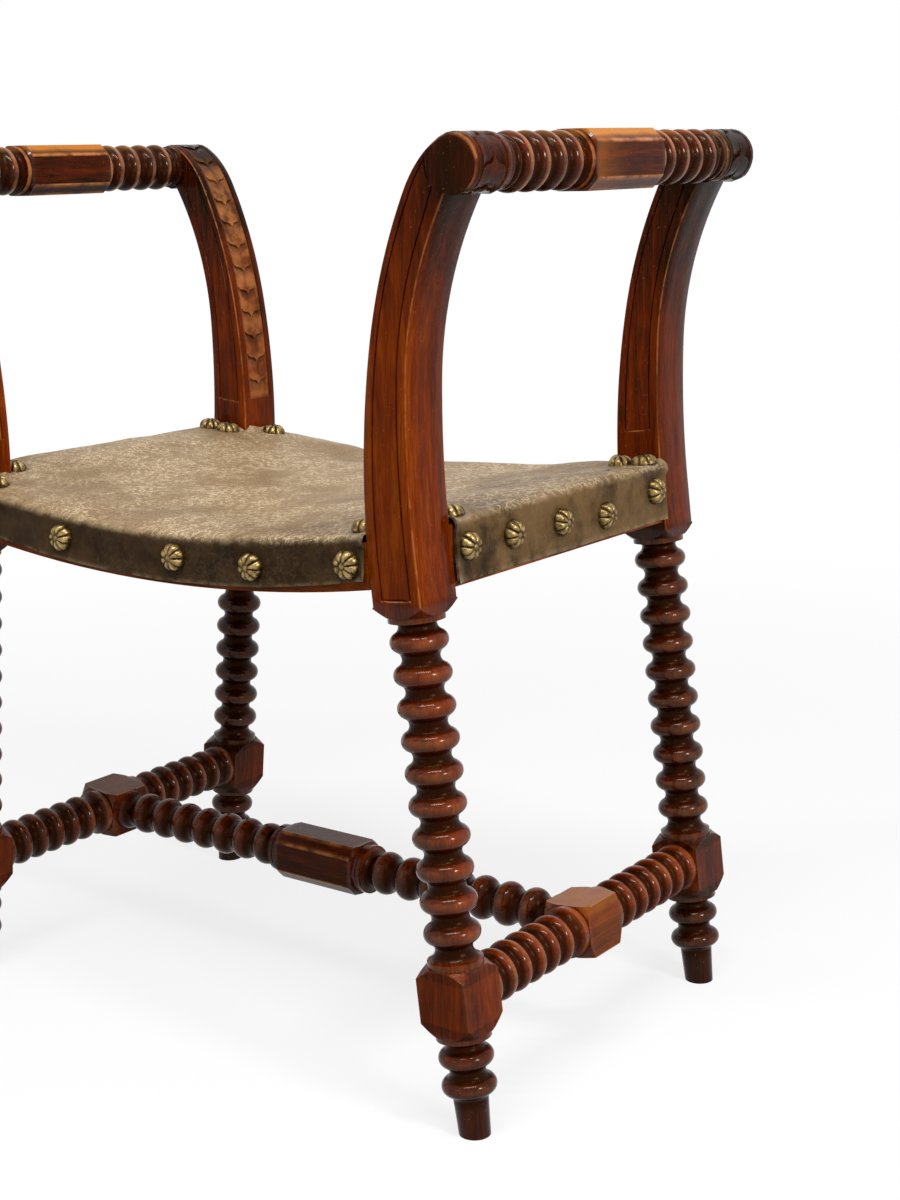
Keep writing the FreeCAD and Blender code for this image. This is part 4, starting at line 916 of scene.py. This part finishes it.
nail_nodes = sorted(name for name in nodes if name.startswith("nails_"))
seats = {name: nail_seats(name) for name in nail_nodes}
all_seats = [seat for name in nail_nodes for seat in seats[name]]
print("nails:", {name: len(found) for name, found in seats.items()})

# %% The flat grid of the hide
SKIRT_ROWS = 9
GRID_STEP = 6.2


def line_of(stops, spacing):
    """Places from the first stop to the last that hit every stop, about spacing apart."""
    places = [stops[0]]
    for start, end in zip(stops, stops[1:]):
        count = max(1, round((end - start) / spacing))
        places += list(start + (end - start) * np.arange(1, count + 1) / count)
    return places


def flat_line(ridge, notch):
    """Places across the flat hide: (place on the top, angle round the ridge, share of skirt)."""
    half = [(place, 0.0, 0.0) for place in line_of([0, notch, ridge], GRID_STEP)]
    half += [(ridge, math.radians(angle), 0.0) for angle in (18, 36, 54, 72, 90)]
    half += [(ridge, math.pi / 2, (k + 1) / SKIRT_ROWS) for k in range(SKIRT_ROWS)]
    return [(-place, angle, share) for place, angle, share in half[:0:-1]] + half


columns_flat, rows_flat = flat_line(RIDGE_X, NOTCH_X), flat_line(RIDGE_Y, NOTCH_Y)
print("hide grid:", len(rows_flat), "x", len(columns_flat))

# %% The hide bent into place
LEATHER_THICKNESS = 1.8
WAVES = ((70, 0.0, 2.8), (30, 5.0, 1.1))
SEAT_PUFF = {"at": 164, "width": 24, "front": 1.4, "rear": 3.4}
CORNER_WIDTH, TOP_CURL_WIDTH, SIDE_CURL_WIDTH, CURL = 34, 6.5, 13, 2.6


def soft_noise(x, y, z, scale, seed=0.0):
    """Noise from -1 to 1 with waves a given size in millimetres."""
    return noise.noise(Vector((x, y, z)) / scale + Vector((seed, seed * 1.7, 3.1)))


def fading(distance, width):
    """1 at no distance, and fading to 0 over a few widths."""
    return math.exp(-(max(0.0, distance) / width) ** 2)


def hide_point(column, row):
    """A point of the hide in place, with its hollow and crest masks."""
    (x, turn_x, skirt_x), (y, turn_y, skirt_y) = column, row
    side_x, side_y = math.copysign(1, x), math.copysign(1, y)
    z = seat_top(x, y) - ROUND * (1 - math.cos(turn_x)) - ROUND * (1 - math.cos(turn_y))
    if skirt_x:
        z -= skirt_x * (z - SIDE_HEM)
    if skirt_y:
        z -= skirt_y * (z - FRONT_HEM - rise(HEM_RADIUS, min(abs(x), NOTCH_X)))
    place = np.array([x + side_x * ROUND * math.sin(turn_x),
                      y + side_y * ROUND * math.sin(turn_y), z])
    out = np.array([side_x * math.sin(turn_x), side_y * math.sin(turn_y),
                    math.cos(turn_x) * math.cos(turn_y)])
    out /= np.linalg.norm(out)
    down = max(skirt_x, skirt_y)
    near_nail = min(np.linalg.norm(place - seat) for seat, _ in all_seats)
    full = 1 - fading(near_nail - 8, 9)
    waves = sum(soft_noise(*place, size, seed) * amount for size, seed, amount in WAVES)
    gap_x, gap_y = NOTCH_X - abs(place[0]), NOTCH_Y - abs(place[1])
    crease = abs(soft_noise(*place, 15, 9.0)) * 3
    corner = fading(math.hypot(max(0.0, gap_x), max(0.0, gap_y)), CORNER_WIDTH)
    curl = 0.0
    if down:
        lift = full * (0.9 + waves * 0.5) * (1 - 0.4 * down)
        lift += 0.9 * down ** 4 * (1 + soft_noise(*place, 30, 2.0) * 1.6)
        if down > 0.2:
            near = gap_x if skirt_y else gap_y
            curl = max(0.0, 1 - near / SIDE_CURL_WIDTH) ** 2 * CURL * down
    else:
        lift = full * (0.5 + waves * 0.6) - corner * full * max(0.0, 0.5 - crease) * 1.4
        puff = SEAT_PUFF["rear" if y > 0 else "front"]
        lift += full * puff * math.exp(-((abs(y) - SEAT_PUFF["at"]) / SEAT_PUFF["width"]) ** 2)
        near = min([abs(gap) for gap, other in ((gap_x, gap_y), (gap_y, gap_x)) if other < 0],
                   default=TOP_CURL_WIDTH)
        curl = max(0.0, 1 - near / TOP_CURL_WIDTH) ** 2 * (
            CURL + soft_noise(*place, 12, 7.0) * 2.4)
    place = place + out * (lift + curl)
    ridge = math.sin(2 * max(turn_x, turn_y)) if not down else 0.0
    hem = max(0.0, down - 0.93) / 0.07
    crest = min(1.0, max(0.0, ridge) * 0.75 + hem * 0.8 + min(1.0, curl / 2.2) * 0.6)
    # hollow is painted shade in the dimples round the nails and in the corner creases.
    hollow = max(fading(near_nail - 8.5, 3.2) * 0.9, corner * max(0.0, 0.4 - crease) * 0.8)
    return (*place, hollow, crest)


hide = [hide_point(column, row) for row in rows_flat for column in columns_flat]
is_hide = without_corners([column[0] for column in columns_flat], [row[0] for row in rows_flat],
                          NOTCH_X, NOTCH_Y)
hide_faces = grid_faces(len(rows_flat), len(columns_flat), is_hide)
cover = make_piece("leather_seat", *used_only(hide, hide_faces), leather, "leather",
                   ["leather_cover"], math.radians(75))
thickness = cover.modifiers.new("thickness", "SOLIDIFY")
thickness.thickness = LEATHER_THICKNESS * MM
thickness.offset = -1

# %% [markdown]
# The hide was cut as a rectangle with its corners out. Its flat size is measured along the
# middle lines of the grid, and the corners are taken off the area.

# %% The hide's flat size
def flat_length(points):
    return sum(math.dist(a, b) for a, b in zip(points, points[1:])) * MM


middle_row, middle_column = len(rows_flat) // 2, len(columns_flat) // 2
hide_width = flat_length([hide[middle_row * len(columns_flat) + c][:3]
                          for c in range(len(columns_flat))])
hide_length = flat_length([hide[r * len(columns_flat) + middle_column][:3]
                           for r in range(len(rows_flat))])
corner_area = (hide_width / 2 - NOTCH_X * MM * 1.005) * (hide_length / 2 - NOTCH_Y * MM)
hide_area = hide_width * hide_length - 4 * corner_area
print("hide %.3f x %.3f m, %.4f square metres" % (hide_width, hide_length, hide_area))

# %% [markdown]
# ## Stuffing, hessian and webbing
#
# Under the leather lies a thin pad of curled hair, on hessian, on jute webbing tacked to the
# rails. It shows only when the stool is turned over. The pad is a closed crowned form. Cloth
# and straps are thin, with their weave in the finish, because threads of a millimetre or two
# are too fine for the mesh.

# %% The cloth finishes
def woven(name, thread, warp_tint, weft_tint, gap_shade_tint):
    """A plain weave with threads a given width in metres."""
    material, shader, here = new_finish(name, Specular_IOR_Level=0.2)
    wobble = grainy(here, 160, 2) * 0.35
    lanes = []
    for part in ("X", "Y"):
        lane = axis_part(here, part) * (math.pi / thread) + wobble
        lanes.append(lane.node("Math", {"operation": "SINE"}, {0: lane}))
    ribs = [size_of(lane) for lane in lanes]
    over = spread(lanes[0] * lanes[1], -0.15, 0.15)
    fuzz = grainy(here, 900, 3)
    body = mixed(over, warp_tint, weft_tint)
    # Painted shade between the threads, and random darker fuzz in the same colour.
    body = mixed(spread(ribs[0] * ribs[1], 0.02, 0.3, 0.75, 0.0), body, gap_shade_tint)
    body = mixed(fuzz * 0.4, body, gap_shade_tint)
    relief = over * ribs[0] + (1 - over) * ribs[1] + fuzz * 0.3
    connect(shader, Base_Color=body, Roughness=0.75 + fuzz * 0.2,
            Normal=raised(relief, 0.8, 0.0005))
    return material


hessian_finish = woven("hessian", 0.0016, tint(158, 130, 88), tint(142, 114, 74), tint(70, 52, 32))
jute_finish = woven("jute", 0.0022, tint(150, 122, 82), tint(128, 100, 64), tint(60, 44, 28))


def hair_finish():
    material, shader, here = new_finish("curled_hair", Specular_IOR_Level=0.3)
    strands = grainy(here, 420, 5, (1, 0.3, 1), 0.7)
    body = mixed(strands, tint(30, 22, 16), tint(96, 76, 54))
    connect(shader, Base_Color=body, Roughness=0.6 + strands * 0.3,
            Normal=raised(strands, 0.9, 0.001))
    return material


print("hessian, jute and hair finishes ready")

# %% The stuffing pad
PAD_X, PAD_Y, PAD_NOTCH_X, PAD_NOTCH_Y = 220.0, 178.0, 186.0, 125.0
PAD_ROUND = 9.0
CLOTH_THICKNESS, STRAP_THICKNESS = 0.6, 1.3
CLOTH_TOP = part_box("hessian")[0][2] / MM + CLOTH_THICKNESS


def pad_layer(top):
    """The points of the pad's top or foot. The two come together towards its edges."""
    points = []
    for y in pad_y:
        for x in pad_x:
            edge = min(PAD_X - abs(x), PAD_Y - abs(y))
            if abs(x) > PAD_NOTCH_X - PAD_ROUND and abs(y) > PAD_NOTCH_Y - PAD_ROUND:
                edge = min(edge, max(PAD_NOTCH_X - abs(x), PAD_NOTCH_Y - abs(y)))
            edge = min(max(0.0, edge) / PAD_ROUND, 1.0)
            low = CLOTH_TOP + 0.2 + rise(SEAT_RADIUS, x)
            high = seat_top(x, y) - LEATHER_THICKNESS - 1.6
            height = max(0.25, high - low) * math.sqrt(edge * (2 - edge))
            points.append((x, y, low + (height if top else 0.0)))
    return points


pad_x = line_of([-PAD_X, -PAD_NOTCH_X, PAD_NOTCH_X, PAD_X], PAD_ROUND)
pad_y = line_of([-PAD_Y, -PAD_NOTCH_Y, PAD_NOTCH_Y, PAD_Y], PAD_ROUND)
is_pad = without_corners(pad_x, pad_y, PAD_NOTCH_X, PAD_NOTCH_Y)
pad_faces = grid_faces(len(pad_y), len(pad_x), is_pad)
pad = make_piece("stuffing", *closed_shell(pad_layer(True), pad_layer(False), pad_faces),
                 hair_finish(), "stuffing", ["stuffing_pad"], math.radians(60))

# %% The hessian and the straps
def strip_of_cloth(name, x_places, y_places, level, thick, finish, slot, node, keep=None):
    """A thin cloth that follows the seat's curve. level is its underside in the middle."""
    under, over = ([(x, y, level + rise(SEAT_RADIUS, x) + height) for y in y_places
                    for x in x_places] for height in (0.0, thick))
    points, faces = closed_shell(under, over, grid_faces(len(y_places), len(x_places), keep))
    return make_piece(name, points, faces, finish, slot, [node])


def node_span(node):
    """The lowest and highest corner of a node, in millimetres."""
    return [[c / MM for c in corner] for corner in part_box(node)]


low, high = node_span("hessian")
cloth_x = line_of([low[0], -NOTCH_X - 0.3, NOTCH_X + 0.3, high[0]], 12)
cloth_y = line_of([low[1], -NOTCH_Y - 0.3, NOTCH_Y + 0.3, high[1]], 16)
is_cloth = without_corners(cloth_x, cloth_y, NOTCH_X, NOTCH_Y)
cloth = strip_of_cloth("hessian_cloth", cloth_x, cloth_y, low[2], CLOTH_THICKNESS,
                       hessian_finish, "hessian", "hessian", is_cloth)
cloth_width = 2 * SEAT_RADIUS * math.asin(high[0] / SEAT_RADIUS) * MM
cloth_length = (high[1] - low[1]) * MM
notch = (high[0] - NOTCH_X) * (high[1] - NOTCH_Y) * MM * MM
cloth_width * cloth_length - 4 * notch
strap_nodes = sorted(name for name in nodes if name.startswith("webbing_")
                     and name != "webbing_tacks")
for name in strap_nodes:
    low, high = node_span(name)
    level = low[2] - min(rise(SEAT_RADIUS, low[0]), rise(SEAT_RADIUS, high[0]))
    if low[0] * high[0] < 0:
        level = low[2]
    strip_of_cloth("strap_" + name.removeprefix("webbing_"), line_of([low[0], high[0]], 10),
                   line_of([low[1], high[1]], 10), level, STRAP_THICKNESS, jute_finish, "jute",
                   name)

# %% [markdown]
# ## Brass
#
# The nails are cast rosettes with eight petals round a boss. They would be tedious to model by
# hand and look wrong as plain domes, so one rosette is a polar grid, a steep dome less the cuts
# between its petals, and it is copied to each nail's place. The brass is aged: bright on the
# petals' backs, on some nails more than on others, and brown between them.

# %% The metal finishes
def aged_metal(name, dark, body, bright, rough):
    material, shader, here = new_finish(name, Metallic=1.0)
    hollow, crest = stored(here)
    wear = grainy(here, 300, 4)
    colour = mixed(spread(wear, 0.3, 0.7) * 0.5, body, bright)
    colour = mixed(crest * spread(wear, 0.3, 0.6, 0.4, 1.0), colour, bright)
    colour = mixed(hollow * 0.95, colour, dark)
    connect(shader, Base_Color=colour, Roughness=rough + hollow * 0.25 + wear * 0.12,
            Normal=raised(wear, 0.25, 0.0003))
    return material


brass = aged_metal("brass", tint(22, 14, 6), tint(74, 54, 26), tint(196, 168, 112), 0.3)
steel = aged_metal("steel", tint(40, 38, 36), tint(128, 124, 118), tint(170, 166, 160), 0.32)
blued = aged_metal("blued_steel", tint(18, 20, 24), tint(48, 52, 60), tint(84, 88, 96), 0.38)
for name, finish in {"leather_pins": brass, "corner_block_screws": steel,
                     "webbing_tacks": blued}.items():
    dress(name, finish)

# %% The rosette nails
PETALS, SEGMENTS = 8, 64
BOSS, BOSS_RISE, RIM, PETAL_CUT = 0.25, 0.35, 0.5, 2.2
RINGS = (0.09, 0.16, 0.2, 0.25, 0.32, 0.44, 0.58, 0.72, 0.84, 0.92, 0.97, 0.992, 1.0)


def rosette(turn):
    """The points of a rosette, standing on its own origin, with hollow and crest masks."""
    points = [(0.0, 0.0, NAIL_DOME + BOSS_RISE, 0.0, 1.0)]
    for share in RINGS:
        for step in range(SEGMENTS):
            angle = 2 * math.pi * step / SEGMENTS
            petal = abs(math.cos(PETALS * angle / 2))
            valley = 1 - petal ** 0.45
            radius = NAIL_RADIUS * share * (1 - 0.1 * valley * smooth(share, 0.6, 1.0))
            height = RIM + (NAIL_DOME - RIM) * (1 - share ** 3.4) ** 0.5
            if share < BOSS:
                height = NAIL_DOME + BOSS_RISE - 0.9 * smooth(share, 0.0, BOSS)
            cut = PETAL_CUT * valley * smooth(share, 0.2, 0.45) * (1 - 0.5 * smooth(share, 0.85, 1))
            cut += 0.5 * smooth(0.1 - abs(share - BOSS), 0.0, 0.1)
            height = max(0.25, height - cut)
            hollow = min(1.0, (1 - petal) ** 3 * 1.3 * smooth(share, 0.18, 0.35)
                         + smooth(0.08 - abs(share - BOSS), 0.0, 0.08) * 0.8)
            crest = petal ** 2 * smooth(share, 0.3, 0.5) * (1 - smooth(share, 0.75, 0.98))
            points.append((radius * math.cos(angle + turn), radius * math.sin(angle + turn),
                           height, hollow, crest))
    for step in range(SEGMENTS):
        points.append((*points[1 + (len(RINGS) - 1) * SEGMENTS + step][:2], -0.35, 1.0, 0.0))
    return points


last = 1 + len(RINGS) * SEGMENTS
rosette_faces = [(0, 1 + step, 1 + (step + 1) % SEGMENTS) for step in range(SEGMENTS)]
rosette_faces += tube_faces(len(RINGS) + 1, SEGMENTS, 1)
rosette_faces.append(tuple(range(last + SEGMENTS - 1, last - 1, -1)))
for number, name in enumerate(nail_nodes):
    chance = random.Random(100 + number)
    points, faces = [], []
    for seat, direction in seats[name]:
        turn, shine = chance.uniform(0, math.pi), chance.uniform(0.15, 1.0)
        lean = Vector(direction) + Vector([chance.uniform(-0.05, 0.05) for _ in range(3)])
        turned_to = lean.to_track_quat("Z", "Y").to_matrix()
        first = len(points)
        for x, y, z, hollow, crest in rosette(turn):
            place = Vector(seat) + turned_to @ Vector((x, y, z))
            points.append((*place, hollow, crest * shine))
        faces += [tuple(first + k for k in face) for face in rosette_faces]
    make_piece("rosettes_" + name.removeprefix("nails_"), points, faces, brass, "brass", [name],
               math.radians(70))

# %% [markdown]
# ## Camera, floor and light
#
# The camera stands where the photograph was taken from, with the same lens. The floor is plain
# and pale. A soft light from the right and a weaker one from the left light the stool as in
# a studio, and a long one over the camera glints on the polish. The camera and mirrors see a
# white world. All other rays see it much dimmer, so that it adds little light to the wood.

# %% The camera
CAMERA_PLACE = (1032.3, -1196.4, 685.5)
YAW, PITCH, ROLL_ANGLE = (math.radians(a) for a in (-36.829, 12.829, -1.3))
FOCAL_PIXELS, LONG_PIXELS, SENSOR = 1956.0, 1200, 36.0

look = Vector((math.sin(YAW) * math.cos(PITCH), math.cos(YAW) * math.cos(PITCH),
               -math.sin(PITCH)))
level_right = Vector((math.cos(YAW), -math.sin(YAW), 0))
level_up = level_right.cross(look)
right = level_right * math.cos(ROLL_ANGLE) + level_up * math.sin(ROLL_ANGLE)
up = level_up * math.cos(ROLL_ANGLE) - level_right * math.sin(ROLL_ANGLE)
camera_data = bpy.data.cameras.new("camera")
camera_data.sensor_width = SENSOR
camera_data.lens = FOCAL_PIXELS / LONG_PIXELS * SENSOR
camera = placed("camera", camera_data)
camera.matrix_world = Matrix.Translation(Vector(CAMERA_PLACE) * MM) @ Matrix(
    (right, up, -look)).transposed().to_4x4()
bpy.context.scene.camera = camera
print("camera lens %.1f mm" % camera_data.lens)

# %% The floor, the world and the lamps
FLOOR_RADIUS, FLOOR_SIDES = 6.0, 96
floor_mesh = bpy.data.meshes.new("floor")
floor_turns = np.linspace(0, 2 * math.pi, FLOOR_SIDES, endpoint=False)
floor_mesh.from_pydata([(FLOOR_RADIUS * math.cos(a), FLOOR_RADIUS * math.sin(a), 0)
                        for a in floor_turns], [], [tuple(range(FLOOR_SIDES))])
placed("floor", floor_mesh)


def direct_ray(wire):
    """1 for what the camera sees itself or in a mirror or through glass, and else 0."""
    seen, mirrored, through = (wire.node("LightPath", {"output": "Is %s Ray" % kind})
                               for kind in ("Camera", "Glossy", "Transmission"))
    return seen + mirrored + through


def floor_finish():
    """Pale floor paper. The camera sees it lit, lifted to white where no shadow falls."""
    material, shader, here = new_finish("floor_paper", Roughness=0.9)
    glow = here.node("Emission", None, {"Color": (1.0, 1.0, 1.0), "Strength": 1.0})
    seen = direct_ray(here)
    connect(shader, Base_Color=mixed(seen, (0.22, 0.22, 0.22), (0.94, 0.94, 0.94)))
    far = here.node("VectorMath", {"operation": "LENGTH", "output": "Value"}, {0: here})
    white = seen * spread(far, 0.5, 2.0, 0.8, 1.0)
    surface = here.node("MixShader", None, {0: white, 1: Wire(shader.outputs[0]), 2: glow})
    connect(material.node_tree.nodes["Material Output"], Surface=surface)
    return material


floor_mesh.materials.append(floor_finish())
world = bpy.data.worlds.new("studio")
bpy.context.scene.world = world
world.use_nodes = True
background = world.node_tree.nodes["Background"]
world_start = Wire(world.node_tree.nodes.new("ShaderNodeTexCoord").outputs["Generated"])
WORLD_LIGHT = 0.26
world_strength = spread(direct_ray(world_start), 0.0, 1.0, WORLD_LIGHT, 1.0)
connect(background, Strength=world_strength)
background.inputs["Color"].default_value = (1, 1, 1, 1)


def soft_lamp(name, place, aim, watts, width, height):
    lamp = bpy.data.lights.new(name, "AREA")
    lamp.shape, lamp.energy, lamp.size, lamp.size_y = "RECTANGLE", watts, width, height
    holder = placed(name, lamp)
    holder.location = place
    holder.rotation_euler = (Vector(aim) - Vector(place)).to_track_quat("-Z", "Y").to_euler()


SEAT_MIDDLE = (0, 0, 0.4)
soft_lamp("key", (2.5, -0.4, 1.5), SEAT_MIDDLE, 34, 0.4, 0.4)
soft_lamp("fill", (-0.6, -2.6, 1.5), SEAT_MIDDLE, 3, 0.8, 0.8)
soft_lamp("strip", (0.55, -0.75, 2.3), SEAT_MIDDLE, 40, 1.5, 0.14)
bpy.context.scene.view_settings.view_transform = "Standard"
print("stage and lamps ready")
